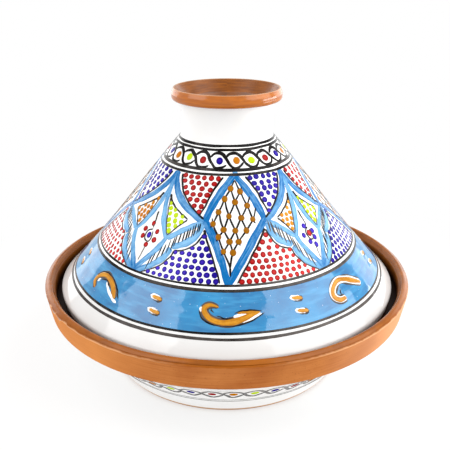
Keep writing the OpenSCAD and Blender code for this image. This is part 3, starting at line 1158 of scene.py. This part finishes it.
@dataclass
class LidPainting:
    """The painted lid: rings, a braid, four kites, four diamonds and a blue band.

    Attributes:
        wall: the lid's glazed wall, with slants from the cone's top down.
        spans: the motifs in turn, a kite and then a diamond.
        eyes: number of eyes in the braid.
        crescents: the crescents on the blue band, from the front to the right.
    """

    wall: PaintedWall
    spans: tuple[Span, ...] = (
        Span(-72.0, -12.5, -43.0, -41.0, 4.5, 0.0), Span(-12.5, 21.5, 5.8, 0.5),
        Span(21.5, 69.0, 48.0, 43.5, 0.0, 4.5), Span(69.0, 105.0, 88.0, 87.0, 4.5, 1.5),
        Span(105.0, 162.0, 134.0, 133.0, 1.5, 3.0), Span(162.0, 198.0, 181.0, 179.0, 3.0, 0.5),
        Span(198.0, 253.0, 226.0, 225.0, 0.5, 2.0), Span(253.0, 288.0, 270.0, 271.0, 2.0, 4.5))
    eyes: int = 23
    crescents: tuple[Crescent, ...] = (HOOK, RIGHT_ARCH, HOOK, LEFT_ARCH, HOOK, RIGHT_ARCH, LEFT_ARCH)

    # Rings: slant, width and brush load of each. DRIER lists places round a ring past the
    # slant LOW, just right of the front, and the load that they lack. STRAY is how far the
    # hand strays, in mm and in load.
    RING = Stroke([], (), closed=True, wobble=0.12)
    RINGS = ((0.7, 3.0, 1.2), (4.2, 2.2, 1.1), (20.2, 2.6, 0.85), (24.0, 2.1, 1.0), (105.8, 1.7, 1.0),
             (109.5, 2.3, 0.9), (139.0, 1.7, 0.9), (142.7, 2.1, 0.6))
    LOW = 100.0
    LOADS = 14
    DRIER = ((8, 0.45), (9, 0.35))
    STRAY = 0.12
    # The braid: one eye, with its angles as shares of the pitch, and the dot in it. Its last
    # points rise to close the next eye; left of the front some rise by a smaller share.
    EYE = Stroke([(-0.55, 10.6), (-0.46, 8.6), (-0.28, 7.1), (0.0, 6.6), (0.24, 8.4), (0.44, 12.0),
                  (0.62, 15.8), (0.82, 18.2), (1.04, 18.7)],
                 (1.7, 2.9, 2.6, 2.1, 2.1, 1.5), (1.0, 1.15, 1.0, 1.1), (0.9, 2.0))
    EYE_END = ((1.28, 18.7, 1.6), (1.46, 18.4, 4.6))
    LEAST_CLOSED = 0.35
    EYE_DOT = Dab(8.3, 12.9, 5.3, 5.5, 0.0, 1.1)

    # Kites: the stem, and blue strokes and then black ones on each side of it.
    STEM = Stroke([(0.0, 24.5), (0.0, 34.0), (0.0, 46.0)], (5.0, 4.4, 3.4), (0.85, 0.55, 0.3))
    KITE_BLUES = (
        Stroke([(0.98, 61.0), (0.80, 64.5), (0.6, 69.5), (0.38, 76.5)], (4.6, 4.4, 4.0), (0.5, 0.3, 0.25)),
        Stroke([(0.98, 62.0), (0.92, 69.0), (0.79, 75.5), (0.64, 79.5), (0.5, 81.5)],
               (4.2, 5.6, 4.8), (0.35, 0.2, 0.45), (1.0, 1.6)),
        Stroke([(0.50, 82.5), (0.44, 89.5), (0.30, 97.0), (0.15, 102.0), (0.04, 105.9)],
               (4.8, 5.2, 4.6, 3.4), (0.45, 0.2, 0.3, 0.85), (1.6, 0.6)),
        Stroke([(0.37, 75.5), (0.29, 84.0), (0.15, 94.0), (0.04, 101.5), (0.0, 105.8)],
               (4.0, 4.6, 4.6, 4.2), (0.3, 0.35, 0.5, 1.0), (0.8, 0.5)),
        Stroke([(0.02, 38.0), (0.05, 46.0), (0.10, 54.0), (0.17, 62.0), (0.26, 69.5), (0.37, 76.5)],
               (3.4, 4.4, 4.0), (0.45, 0.3, 0.35)),
        Stroke([(0.04, 25.0), (0.07, 29.5), (0.15, 35.0), (0.26, 40.5), (0.40, 45.5), (0.57, 50.5),
                (0.76, 55.5), (0.985, 60.5)], (3.4, 5.0, 5.4, 5.0, 4.2), (1.0, 0.9, 0.75, 0.6, 0.7)))
    RIDGE = Stroke([(0.19, 26.0), (0.26, 31.5), (0.37, 38.0), (0.5, 43.5), (0.63, 48.0), (0.78, 52.5),
                    (0.99, 58.5)], (1.9, 1.5, 1.4, 1.7), (1.1, 1.0, 0.95, 1.05))
    SCALLOP = Stroke([(1.05, 66.5), (0.97, 73.0), (0.86, 79.0), (0.71, 82.7), (0.56, 84.3)],
                     (1.5, 1.2, 1.3), (1.0, 0.8, 0.9))
    LOW_SCALLOP = Stroke([(0.57, 84.3), (0.53, 89.5), (0.40, 97.0), (0.25, 102.0), (0.14, 105.2)],
                         (1.3, 1.1, 1.0), (0.9, 0.7, 0.65))
    CELL_RIM = Stroke([(0.11, 43.5), (0.2, 48.5), (0.43, 54.5), (0.68, 60.0)],
                      (2.1, 1.3, 1.2), (1.0, 0.95, 0.95))
    CELL_FOOT = Stroke([(0.68, 60.2), (0.53, 66.0), (0.36, 74.5)], (1.4, 1.1, 0.9), (0.95, 0.85, 0.75))
    CELL_RIB = Stroke([(0.13, 46.0), (0.19, 54.0), (0.26, 64.0), (0.35, 74.0)],
                      (1.1, 0.9, 0.9), (0.75, 0.65, 0.6))
    FLOWER_LINES = (
        Stroke([(-0.01, 58.5), (0.0, 63.0), (0.02, 67.0), (0.03, 72.0)], (1.7, 1.2, 0.9), (0.95, 0.8, 0.7)),
        Stroke([(0.05, 72.5), (-0.05, 75.0), (-0.07, 78.5), (-0.03, 82.0), (0.05, 82.5), (0.08, 79.0),
                (0.06, 74.0)], (1.2, 1.0), (0.8, 0.85, 0.7)),
        Stroke([(0.03, 86.5), (0.02, 92.0), (0.01, 98.0)], (0.8,), (0.6, 0.3)))
    OPEN_FLOWER = ((0.0, 68.5), (-0.13, 74.3), (0.15, 73.7), (-0.12, 80.0), (0.15, 80.2), (0.03, 85.3))
    CLOSE_FLOWER = ((-0.05, 71.5), (-0.16, 78.0), (0.13, 77.0), (0.11, 82.0), (-0.06, 84.0), (0.06, 87.5))
    PETAL = Dab(0, 0, 4.2, 4.6)
    PETAL_LOADS = (0.9, 0.55)
    HEART = Dab(0.01, 77.8, 4.6, 5.2, 0.0, 0.65)
    # Feathers: the line that the ticks stand along and how they crowd towards its start;
    # their count, least length and load on a left, a right and a pale wing; and their lean
    # in degrees at some degrees from the front.
    FEATHER = np.array([(0.94, 65.0), (0.78, 69.5), (0.62, 74.0), (0.49, 80.5), (0.36, 88.0), (0.2, 97.0)])
    CROWDING = 1.25
    LEFT_TICKS = (15, 9.0, 0.9)
    RIGHT_TICKS = (15, 9.0, 1.15)
    PALE_TICKS = (12, 11.5, 0.55)
    TICK = Dab(0, 0, 1.15)
    LEAN = ((28, 62, 110), (3, 17, 8))
    CELL = DottedField((50.0, 54.3, 58.5, 62.7, 66.7, 70.6), 4.1, 2.0, Dab(0, 0, 3.7, 4.1, 0.0, 0.95))
    PALE_CELL = replace(CELL, dot=replace(CELL.dot, load=0.5))

    # Diamonds: bars, their black rims and the lattice.
    DIAMOND_BLUES = (
        Stroke([(0.99, 58.5), (0.85, 63.5), (0.65, 70.0), (0.43, 80.0), (0.23, 90.0), (0.08, 100.0),
                (0.0, 105.5)], (4.6, 5.6, 5.4, 5.2, 5.0), (0.95, 1.0, 0.9, 1.05, 1.2)),
        Stroke([(0.03, 24.5), (0.28, 30.0), (0.47, 35.0), (0.63, 40.0), (0.76, 45.5), (0.88, 52.0),
                (0.99, 60.0)], (4.0, 5.4, 5.8, 5.6, 5.0), (1.05, 0.85, 0.9, 0.95, 1.15)))
    DIAMOND_RIM = Stroke([(0.50, 25.5), (0.74, 32.0), (0.92, 38.5), (1.07, 48.0), (1.22, 56.5)],
                         (1.8, 1.5, 1.4), (1.1, 1.0, 0.9))
    DIAMOND_FOOT = Stroke([(0.93, 66.0), (0.77, 74.0), (0.60, 81.5), (0.45, 89.0), (0.31, 97.0),
                           (0.2, 104.5)], (1.8, 1.4, 1.3), (1.1, 0.95, 0.9))
    TIP = Stroke([(0.5, 20.6), (1.5, 25.5)], (3.4,), (0.5, 0.8))
    KNOTS = (((-0.17, 34.5), (0.21, 37.0)),
             ((-0.39, 42.5), (0.0, 45.0), (0.44, 48.0)),
             ((-0.57, 52.5), (-0.21, 55.5), (0.2, 57.0), (0.58, 58.5)),
             ((-0.70, 61.5), (-0.34, 65.5), (0.02, 66.3), (0.36, 66.5)),
             ((-0.46, 71.0), (-0.12, 74.3), (0.14, 74.5)),
             ((-0.25, 81.5), (0.01, 82.3)))
    KNOT = Dab(0, 0, 4.5, 4.9, 0.0, 0.9)
    CROWN = (0.0, 28.0)
    TAIL = ((-0.02, 93.0), (0.02, 99.5))
    # Each strand's start, its knots as (row, place in the row), and its end.
    STRAND = Stroke([], (1.0, 1.4, 1.3, 1.4, 1.2), (0.9, 1.05, 1.05, 1.0), (1.0, 1.6))
    STRANDS = (
        (CROWN, ((0, 0), (1, 0), (2, 0), (3, 0)), ((-0.76, 64.5),)),
        ((0.3, 33.5), ((0, 1), (1, 1), (2, 1), (3, 1), (4, 0)), ((-0.5, 74.5),)),
        ((0.57, 41.0), ((1, 2), (2, 2), (3, 2), (4, 1), (5, 0)), ((-0.3, 84.5),)),
        ((0.75, 50.0), ((2, 3), (3, 3), (4, 2), (5, 1)), TAIL),
        (CROWN, ((0, 1), (1, 2), (2, 3)), ((0.66, 62.0),)),
        ((-0.22, 33.0), ((0, 0), (1, 1), (2, 2), (3, 3)), ((0.42, 69.0),)),
        ((-0.46, 40.5), ((1, 0), (2, 1), (3, 2), (4, 2)), ((0.2, 77.5),)),
        ((-0.66, 50.0), ((2, 0), (3, 1), (4, 1), (5, 1)), ((0.04, 85.0),)),
        ((-0.76, 57.0), ((3, 0), (4, 0), (5, 0)), TAIL))

    # Dotted triangles between a kite and a diamond, above and below their waists. The fades
    # are for a triangle to the kite's left, to its right, and to the right of a later kite.
    HIGH = DottedField((27.0, 31.5, 35.9, 40.3, 44.7, 49.1, 53.4, 57.4), 5.2, 2.6,
                       Dab(0, 0, 4.2, 4.2, 0.0, 1.15))
    HIGH_FADES = ((0.0, 0.15, 0.5), (0.15, 0.05, 0.1), (0.2, 0.3, 0.4))
    DEEP = DottedField((66.6, 71.2, 75.8, 80.4, 85.0, 89.6, 94.2, 98.8, 103.2), 4.9, 2.3,
                       Dab(0, 0, 4.2, 4.1, 0.0, 1.15))
    DEEP_FADES = ((0.15, 0.75, 0.0), (0.65, 0.0, 0.0), (0.0, 0.4, 0.0))

    # The band: the ends of its dashes, then its strokes. A dash's path is its distance
    # from those ends, and SHADOW_RIM is how much wider a crescent's shadow is than its halo.
    DASHES = (((-2.3, 118.8), (1.9, 120.4)), ((-1.7, 128.2), (2.5, 129.8)))
    DASH_SHADOW = Stroke([(0.2, 0.5)], (3.4, 4.8, 4.0), (0.3, 0.5), (1.6, 1.6), wobble=0.4)
    DASH_RESERVE = Stroke([(-0.8, -0.4)], (3.0, 4.2, 3.4), tips=(2.2, 1.4), wobble=0.3)
    DASH = Stroke([(0.0, 0.0)], (2.0, 3.0, 2.2), (0.45, 0.75), (1.6, 1.0))
    SHADOW_RIM = 2.0
    SHADOW = Stroke([], (), (0.45, 0.25, 0.5, 0.3), (1.5, 2.0), wobble=0.35)
    HALO = Stroke([], (), tips=(1.5, 2.0))
    RESERVE = Stroke([], (1.6, 2.4, 2.2), tips=(1.0, 2.5))
    CRESCENT = Stroke([], (), (0.9, 0.65, 0.95, 0.6), (1.2, 2.6), wobble=0.15)
    CRESCENT_BRANCH = Stroke([], (1.2, 2.2, 2.4, 1.2), (0.9, 0.7), (1.2, 1.6), wobble=0.1)
    CRESCENT_EDGE = Stroke([], (0.6, 1.2, 0.7), (0.7, 1.0, 0.7), (1.5, 2.0))

    def __post_init__(self) -> None:
        """Lay out one brush or dab work for each paint and layer."""
        wall = self.wall
        self.hand = np.random.default_rng(SEED)
        self.blue = BrushWork("lid_blue_strokes", wall, Paint.BLUE, 0.05)
        self.black = BrushWork("lid_black_lines", wall, Paint.BLACK, 0.1)
        self.rings = BrushWork("lid_black_rings", wall, Paint.BLACK, 0.09)
        self.braid = BrushWork("lid_braid", wall, Paint.BLACK, 0.1)
        self.shadow = BrushWork("band_crescent_shadows", wall, Paint.BLACK, 0.05)
        self.white = BrushWork("band_crescent_reserves", wall, Paint.WHITE, 0.1)
        self.ochre = BrushWork("band_ochre_crescents", wall, Paint.OCHRE, 0.15)
        self.edges = BrushWork("band_crescent_edges", wall, Paint.BLACK, 0.2)
        self.ticks = DabWork("lid_feather_ticks", wall, Paint.BLACK, 0.17, 0.15)
        self.dots = {paint: DabWork(f"lid_{paint.name.lower()}_dots", wall, paint)
                     for paint in (Paint.RED, Paint.VIOLET, Paint.ORANGE, Paint.LIME)}
        self.dots[Paint.AMBER] = DabWork("lid_amber_knots", wall, Paint.AMBER, 0.26)

    def paint_rings(self) -> None:
        """The double black rings that bound the braid, the main zone and the band.

        Angles and loads run round from the back by the left.
        """
        for slant, width, load in self.RINGS:
            path = [(angle, slant + self.hand.normal(0, self.STRAY)) for angle in RING_ANGLES]
            loads = [load + self.hand.normal(0, self.STRAY) for _ in range(self.LOADS)]
            if slant > self.LOW:
                for place, less in self.DRIER:
                    loads[place] -= less
            self.rings.pull(replace(self.RING, width=(width,), load=(*loads, loads[0])), path)

    def paint_braid(self) -> None:
        """S-shaped strokes that overlap into a chain of eyes with a dot in each."""
        paints = (Paint.ORANGE, Paint.LIME, Paint.RED, Paint.VIOLET)
        pitch = 360 / self.eyes
        for eye in range(-(self.eyes // 2), self.eyes // 2 + 1):
            middle = self.EYE_DOT.angle + eye * pitch
            closed = 1.0
            if eye < 0:
                closed = self.LEAST_CLOSED + (1 - self.LEAST_CLOSED) * self.hand.random()
            tail = [(across, slant - rise * closed) for across, slant, rise in self.EYE_END]
            path = [(middle + pitch * across + self.hand.normal(0, 0.25), slant + self.hand.normal(0, 0.2))
                    for across, slant in self.EYE.path + tail]
            self.braid.pull(self.EYE, path)
            middle += self.hand.normal(0, 0.5)
            slant = self.EYE_DOT.slant + self.hand.normal(0, 0.5)
            self.dots[paints[eye % 4]].dabs.append(replace(self.EYE_DOT, angle=middle, slant=slant))

    def paint_kite(self, span: Span, number: int) -> None:
        """One kite: blue ribs, two dotted cells, a flower and two feathered wings.

        Args:
            span: where it stands.
            number: its number, which picks its flower and the flower's colours.
        """
        lines = (self.RIDGE, self.SCALLOP, self.LOW_SCALLOP, self.CELL_RIM, self.CELL_FOOT, self.CELL_RIB)
        span.trace(self.blue, (self.STEM,))
        for side in (-1, 1):
            span.trace(self.blue, self.KITE_BLUES, side)
            span.trace(self.black, lines, side)
            self._feather(span, side)
            self._cell(span, side)
        span.trace(self.black, self.FLOWER_LINES)
        petals, heart, flower = Paint.RED, Paint.VIOLET, self.OPEN_FLOWER
        if number % 2:
            petals, heart, flower = Paint.VIOLET, Paint.RED, self.CLOSE_FLOWER
        petal = replace(self.PETAL, load=self.PETAL_LOADS[number % 2])
        self.dots[petals].dabs += [span.set_down(petal, *at) for at in flower]
        self.dots[heart].dabs.append(span.set_down(self.HEART, self.HEART.angle, self.HEART.slant))

    def _feather(self, span: Span, side: int) -> None:
        """Black ticks between a wing and its scallops.

        Args:
            span: where the kite stands.
            side: -1 for its left wing and 1 for its right wing.
        """
        count, least, full = self.RIGHT_TICKS if side > 0 else self.LEFT_TICKS
        if side < 0 and span.is_pale():
            count, least, full = self.PALE_TICKS
        for index in range(count):
            share = (index / (count - 1)) ** self.CROWDING
            across, slant = (np.interp(share, np.linspace(0, 1, len(self.FEATHER)), column)
                             for column in self.FEATHER.T)
            across += self.hand.normal(0, 0.008)
            long = least + 1.5 * self.hand.random() + 2.5 * share
            angle = span.angle(side * across, slant)
            from_front = abs((angle + 180) % 360 - 180)
            turn = self.hand.normal(0, 1.5) - side * np.interp(from_front, *self.LEAN)
            load = full - 0.25 * self.hand.random()
            self.ticks.dabs.append(replace(self.TICK, angle=angle, slant=span.hang(side * across, slant),
                                           long=long, turn=turn, load=load))

    def _cell(self, span: Span, side: int) -> None:
        """Dots in the curved cell above a wing: orange to the left, lime to the right.

        Args:
            span: where the kite stands.
            side: -1 for its left side and 1 for its right side.
        """
        paint = Paint.LIME if side > 0 else Paint.ORANGE
        cell = self.PALE_CELL if side < 0 and span.is_pale() else self.CELL
        lines = (span.line((self.CELL_RIB,), side), span.line((self.CELL_RIM, self.CELL_FOOT), side))
        self.dots[paint].dabs += cell.fill(self.wall, lines[::side], self.hand)

    def paint_diamond(self, span: Span) -> None:
        """One diamond: four deep blue bars round a black lattice with amber knots.

        Args:
            span: where it stands.
        """
        for side in (-1, 1):
            span.trace(self.blue, self.DIAMOND_BLUES, side)
            span.trace(self.black, (self.DIAMOND_RIM, self.DIAMOND_FOOT), side)
        self.blue.pull(self.TIP, [(span.top + aside, slant) for aside, slant in self.TIP.path])
        for start, knots, end in self.STRANDS:
            strand = [start, *(self.KNOTS[row][place] for row, place in knots), *end]
            self.black.pull(self.STRAND, span.path(strand))
        self.dots[Paint.AMBER].dabs += [span.set_down(self.KNOT, *at) for row in self.KNOTS for at in row]

    def paint_dotted_fields(self, kite: Span, diamond: Span, number: int) -> None:
        """The two dotted triangles between a kite and the diamond on one side of it.

        Args:
            kite: the kite.
            diamond: its neighbour, to the right of it or to the left.
            number: the kite's number.
        """
        side, case = (1, 1) if diamond.left > kite.left else (-1, 0)
        if side > 0 and number:
            case = 2
        paints = (Paint.VIOLET, Paint.RED)[::-side]
        triangles = (
            (replace(self.HIGH, fade=self.HIGH_FADES[case]), (self.RIDGE,), self.DIAMOND_RIM),
            (replace(self.DEEP, fade=self.DEEP_FADES[case]), (self.SCALLOP, self.LOW_SCALLOP),
             self.DIAMOND_FOOT))
        for paint, (triangle, rims, bar) in zip(paints, triangles):
            lines = (kite.line(rims, side), diamond.line((bar,), -side))
            self.dots[paint].dabs += triangle.fill(self.wall, lines[::side], self.hand)

    def paint_band(self) -> None:
        """Ochre crescents and pairs of ochre dashes on the blue band."""
        count = len(self.crescents)
        pitch = 360 / count
        for index, crescent in enumerate(self.crescents):
            middle = (index if index <= count // 2 else index - count) * pitch
            self._crescent(middle, crescent)
            between = middle + pitch / 2 + self.hand.normal(0, 0.6)
            for start, stop in self.DASHES:
                ends = [(between + start[0], start[1]), (between, (start[1] + stop[1]) / 2),
                        (between + stop[0], stop[1])]
                for work, dash in ((self.shadow, self.DASH_SHADOW), (self.white, self.DASH_RESERVE),
                                   (self.ochre, self.DASH)):
                    [(aside, down)] = dash.path
                    work.pull(dash, [(angle + aside, slant + down) for angle, slant in ends])

    def _crescent(self, middle: float, shape: Crescent) -> None:
        """An ochre crescent with white reserves and broken black edges.

        Args:
            middle: degrees round the pot.
            shape: its strokes.
        """
        def at(path: Path) -> Path:
            """Move a path to the crescent's place, with a hand's unevenness."""
            return [(middle + angle + self.hand.normal(0, 0.08), slant) for angle, slant in path]

        def widened(stroke: Stroke, rim: float) -> Stroke:
            """A stroke that is a rim wider than the crescent."""
            return replace(stroke, width=tuple(width + rim for width in shape.width))

        self.shadow.pull(widened(self.SHADOW, shape.halo + self.SHADOW_RIM), at(shape.ochre))
        if shape.halo > 1:
            self.white.pull(widened(self.HALO, shape.halo), at(shape.ochre))
        for path in shape.white:
            self.white.pull(self.RESERVE, at(path))
        self.ochre.pull(widened(self.CRESCENT, 0.0), at(shape.ochre))
        if shape.branch:
            self.ochre.pull(self.CRESCENT_BRANCH, at(shape.branch))
        for path in shape.black:
            self.edges.pull(self.CRESCENT_EDGE, at(path))

    def build(self) -> list[bpy.types.Object]:
        """Paint the whole lid.

        Returns:
            The painted pieces, riding on the lid.
        """
        self.paint_rings()
        self.paint_braid()
        kites, diamonds = self.spans[0::2], self.spans[1::2]
        for number, kite in enumerate(kites):
            self.paint_kite(kite, number)
        for diamond in diamonds:
            self.paint_diamond(diamond)
        before = (diamonds[-1].turned(-360), *diamonds)
        for number, kite in enumerate(kites):
            self.paint_dotted_fields(kite, diamonds[number], number)
            self.paint_dotted_fields(kite, before[number], number)
        self.paint_band()
        works = [self.blue, self.black, self.rings, self.braid, self.shadow, self.white, self.ochre,
                 self.edges, self.ticks, *self.dots.values()]
        pieces = [work.build() for work in works]
        for piece in pieces:
            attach(piece, "lid")
            LOG.info("%s: %d faces", piece.name, len(piece.data.polygons))
        return pieces


@dataclass
class DishPainting:
    """The painted dish wall: a braid with coloured dots, and a pale double ring under it.

    Attributes:
        wall: the dish's glazed wall, with slants from the foot up.
        eyes: number of eyes in the braid.
    """

    wall: PaintedWall
    eyes: int = 48

    EYE = Stroke([(-0.52, 36.5), (-0.38, 41.5), (-0.14, 45.2), (0.12, 45.0), (0.34, 41.0), (0.5, 36.5),
                  (0.66, 31.6), (0.86, 27.4), (1.06, 26.6), (1.28, 29.6), (1.46, 34.6)],
                 (2.1, 3.1, 2.7, 2.9, 2.1), (1.1, 1.0, 1.1), (0.9, 1.6))
    EYE_DOT = Dab(2.3, 36.3, 6.0, 8.4, 0.0, 1.4)
    # Rings: slant, width and brush load of each, and how far the hand strays, in mm.
    RING = Stroke([], (), closed=True, wobble=0.2)
    RINGS = ((18.9, 0.6, 0.3), (15.9, 0.7, 0.45))
    STRAY = 0.15

    def build(self) -> list[bpy.types.Object]:
        """Paint the dish wall.

        Returns:
            The painted pieces, riding on the dish.
        """
        hand = np.random.default_rng(SEED + 1)
        paints = (Paint.ORANGE, Paint.LIME, Paint.VIOLET, Paint.RED)
        lines = BrushWork("dish_braid", self.wall, Paint.BLACK, 0.1)
        dots = {paint: DabWork(f"dish_{paint.name.lower()}_dots", self.wall, paint) for paint in paints}
        pitch = 360 / self.eyes
        for eye in range(self.eyes):
            middle = self.EYE_DOT.angle + eye * pitch
            path = [(middle + pitch * across + hand.normal(0, 0.12), slant + hand.normal(0, 0.3))
                    for across, slant in self.EYE.path]
            lines.pull(self.EYE, path)
            slant = self.EYE_DOT.slant + hand.normal(0, 0.4)
            dots[paints[eye % 4]].dabs.append(replace(self.EYE_DOT, angle=middle, slant=slant))
        for slant, width, load in self.RINGS:
            path = [(angle, slant + hand.normal(0, self.STRAY)) for angle in RING_ANGLES]
            lines.pull(replace(self.RING, width=(width,), load=(load,)), path)
        pieces = [lines.build()] + [work.build() for work in dots.values()]
        for piece in pieces[1:]:
            take_off_shine(piece)
        for piece in pieces:
            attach(piece, "dish")
            LOG.info("%s: %d faces", piece.name, len(piece.data.polygons))
        return pieces


# ---------------------------------------------------------------- pot and studio


@dataclass
class Potting:
    """The thrown and glazed bodies: the CAD nodes with their finishes.

    Attributes:
        run_z: height in mm that the clear glaze runs down to on the rim's band.
        edge_z: height in mm under which the white glaze turns brown towards the foot.
        pool_and_shade: the gallery's groove, painted dark as painted shade, as in ClearGlazedTerracotta.
        mouth: the knob's mouth, as in ClearGlazedTerracotta.
    """

    run_z: float = 74.7
    edge_z: float = 2.9
    pool_and_shade: tuple[float, float, float] = (66.0, 77.0, 130.0)
    mouth: tuple[float, float, float, float] = (217.0, 226.4, 36.2, 40.8)

    def dress(self) -> None:
        """Give every CAD node its finish."""
        finishes = (
            (BareTerracotta(), "dish_bowl", "gallery", "lid_cone"),
            (BareTerracotta("#b4783c", "#96602e", name="bare_terracotta_foot"), "foot_ring"),
            (BareTerracotta(name="bare_terracotta_rim", run_z=self.run_z), "dish_rim"),
            (TinGlaze(), "lid_cone_glaze", "neck_glaze"),
            (TinGlaze(name="white_tin_glaze_dish", edge_z=self.edge_z), "dish_outer_glaze"),
            # The lid's lowest band has a greyer copy of the white glaze, as painted shade.
            (TinGlaze("#e8e8e7", "#e3e2e0", "white_tin_glaze_shaded"), "lid_skirt_glaze"),
            (BlueWash(), "lid_blue_glaze"),
            (ClearGlazedTerracotta("clear_glazed_roll", "#c46c0a", "#ac5a04", "#985206", 0.15, True,
                                   mouth=self.mouth), "knob_roll"),
            # The cup's glaze is a darker, rougher copy of the roll's, as painted shade inside the knob's
            # hollow.
            (ClearGlazedTerracotta("clear_glazed_cup", "#94551a", "#74400e", "#5e300a", 0.36, True),
             "knob_cup"),
            (ClearGlazedTerracotta("clear_glazed_inside", "#ac6012", "#924e0a", "#7c4008", pool_and_shade=self.pool_and_shade),
             "dish_inner_glaze", "lid_inner_glaze"))
        for finish, *nodes in finishes:
            material = finish.material()
            for name in nodes:
                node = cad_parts[name]
                node.data.materials.clear()
                node.data.materials.append(material)
                LOG.info("%s: %s", name, material.name)


@dataclass
class Studio:
    """A white table, two big soft boxes and a low one at the sides, and two strips behind.

    Attributes:
        distance: camera's distance from the pot's axis, in metres.
        height: camera's height over the table, in metres.
        pitch: how far the camera looks down, in degrees.
        focal: focal length in widths of the sensor.
        aside: how far the camera stands to the left of the axis, in metres.
        reach: the lamps' distance from the pot, in metres.
    """

    distance: float = 0.4797
    height: float = 0.304
    pitch: float = 21.79
    focal: float = 620 / 450
    aside: float = 0.0014
    reach: float = 1.3

    SENSOR = 36.0
    AIM = Vector((0, 0, 0.1))
    # Brightness of the surround for light and for what is seen.
    SURROUND = (0.7, 1.0)
    # Half the floor's side in metres, the distances from the axis between which it fades, and
    # how much of it glows at each; the glow is painted light that lights the pot from below and
    # pales its shadow.
    FLOOR = 3.0
    FADE = (0.11, 0.36, 0.6, 1.0)
    # Lamps: name, azimuth, elevation, size and radiance.
    LAMPS = (("left_box", -67, 42, (0.84, 1.25), 2.1), ("right_box", 73, 42, (1.25, 1.25), 2.35),
             ("left_strip", -140, 12, (1.0, 0.7), 1.5), ("right_strip", 138, 12, (1.0, 0.7), 1.5),
             ("right_low", 97, 0, (1.0, 0.5), 6.5))

    def camera(self) -> None:
        """Place the camera."""
        data = bpy.data.cameras.new("camera")
        data.sensor_width = self.SENSOR
        data.lens = self.SENSOR * self.focal
        data.clip_start = 0.01
        camera = bpy.data.objects.new("camera", data)
        camera.location = (-self.aside, -self.distance, self.height)
        camera.rotation_euler = (math.radians(90 - self.pitch), 0, 0)
        bpy.context.scene.collection.objects.link(camera)
        bpy.context.scene.camera = camera

    def soft_box(self, name: str, azimuth: float, elevation: float, size: tuple[float, float],
                 radiance: float) -> None:
        """A rectangular soft light that faces the pot.

        Args:
            name: the lamp's name.
            azimuth: degrees from the camera's side, positive to the right.
            elevation: degrees over the table.
            size: width and height in metres.
            radiance: brightness of its face, where 1 is white.
        """
        data = bpy.data.lights.new(name, "AREA")
        data.shape = "RECTANGLE"
        data.size, data.size_y = size
        data.energy = radiance * math.pi * size[0] * size[1]
        lamp = bpy.data.objects.new(name, data)
        turn, tilt = math.radians(azimuth), math.radians(elevation)
        away = Vector((math.sin(turn) * math.cos(tilt), -math.cos(turn) * math.cos(tilt), math.sin(tilt)))
        lamp.location = away * self.reach + self.AIM
        lamp.rotation_euler = away.to_track_quat("Z", "Y").to_euler()
        lamp.visible_camera = False
        bpy.context.scene.collection.objects.link(lamp)

    def world(self) -> None:
        """A soft grey surround that the camera and the glazes see as white."""
        world = bpy.data.worlds.new("surround")
        bpy.context.scene.world = world
        world.use_nodes = True
        world.node_tree.nodes.clear()
        add = partial(add_node, world.node_tree)
        ray = add("ShaderNodeLightPath").node.outputs
        seen = ray["Is Camera Ray"]
        for kind in ("Is Glossy Ray", "Is Transmission Ray"):
            seen = add("ShaderNodeMath", seen, ray[kind], operation="ADD")
        strength = add("ShaderNodeMapRange", seen, 0.0, 1.0, *self.SURROUND)
        add("ShaderNodeOutputWorld", add("ShaderNodeBackground", "#ffffff", strength))

    def floor(self) -> None:
        """A plain white table top that glows, as painted light on the pot from below, keeps part of the
        pot's shadow and fades to white.
        """
        material = bpy.data.materials.new("white_sweep")
        material.use_nodes = True
        material.node_tree.nodes.clear()
        add = partial(add_node, material.node_tree)
        place = add("ShaderNodeTexCoord").node.outputs["Object"]
        away = add("ShaderNodeVectorMath", place, operation="LENGTH")
        share = add("ShaderNodeMapRange", away, *self.FADE)
        paper = add("ShaderNodeBsdfDiffuse", "#f4f4f3")
        # Painted light: the glow lights the pot and pales its shadow.
        glow = add("ShaderNodeEmission", "#ffffff", 1.0)
        add("ShaderNodeOutputMaterial", add("ShaderNodeMixShader", share, paper, glow))
        mesh = bpy.data.meshes.new("floor")
        corners = [(x * self.FLOOR, y * self.FLOOR, 0) for x, y in ((-1, -1), (1, -1), (1, 1), (-1, 1))]
        mesh.from_pydata(corners, [], [(0, 1, 2, 3)])
        mesh.materials.append(material)
        floor = put_in_scene("floor", mesh)

    def build(self) -> None:
        """Set up the camera, the lights and the surround."""
        bpy.context.scene.view_settings.view_transform = "Standard"
        self.camera()
        self.world()
        self.floor()
        for lamp in self.LAMPS:
            self.soft_box(*lamp)
        LOG.info("studio: camera at %.3f m", self.distance)


def main() -> None:
    """Dress the pot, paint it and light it."""
    logging.basicConfig(level=logging.INFO, format="%(name)s: %(message)s")
    for paint in Paint:
        PAINTS[paint] = paint.value.material()
    Potting().dress()
    lid_wall = PaintedWall(("lid_cone_glaze", "lid_blue_glaze", "lid_skirt_glaze"), True, 162.0)
    LOG.info("lid wall: slant %.1f, radius %.1f to %.1f", lid_wall.slant[-1], *lid_wall.radius[[0, -1]])
    LidPainting(lid_wall).build()
    DishPainting(PaintedWall(("dish_outer_glaze",), False, 75.0)).build()
    Studio().build()


if __name__ == "__main__":
    main()
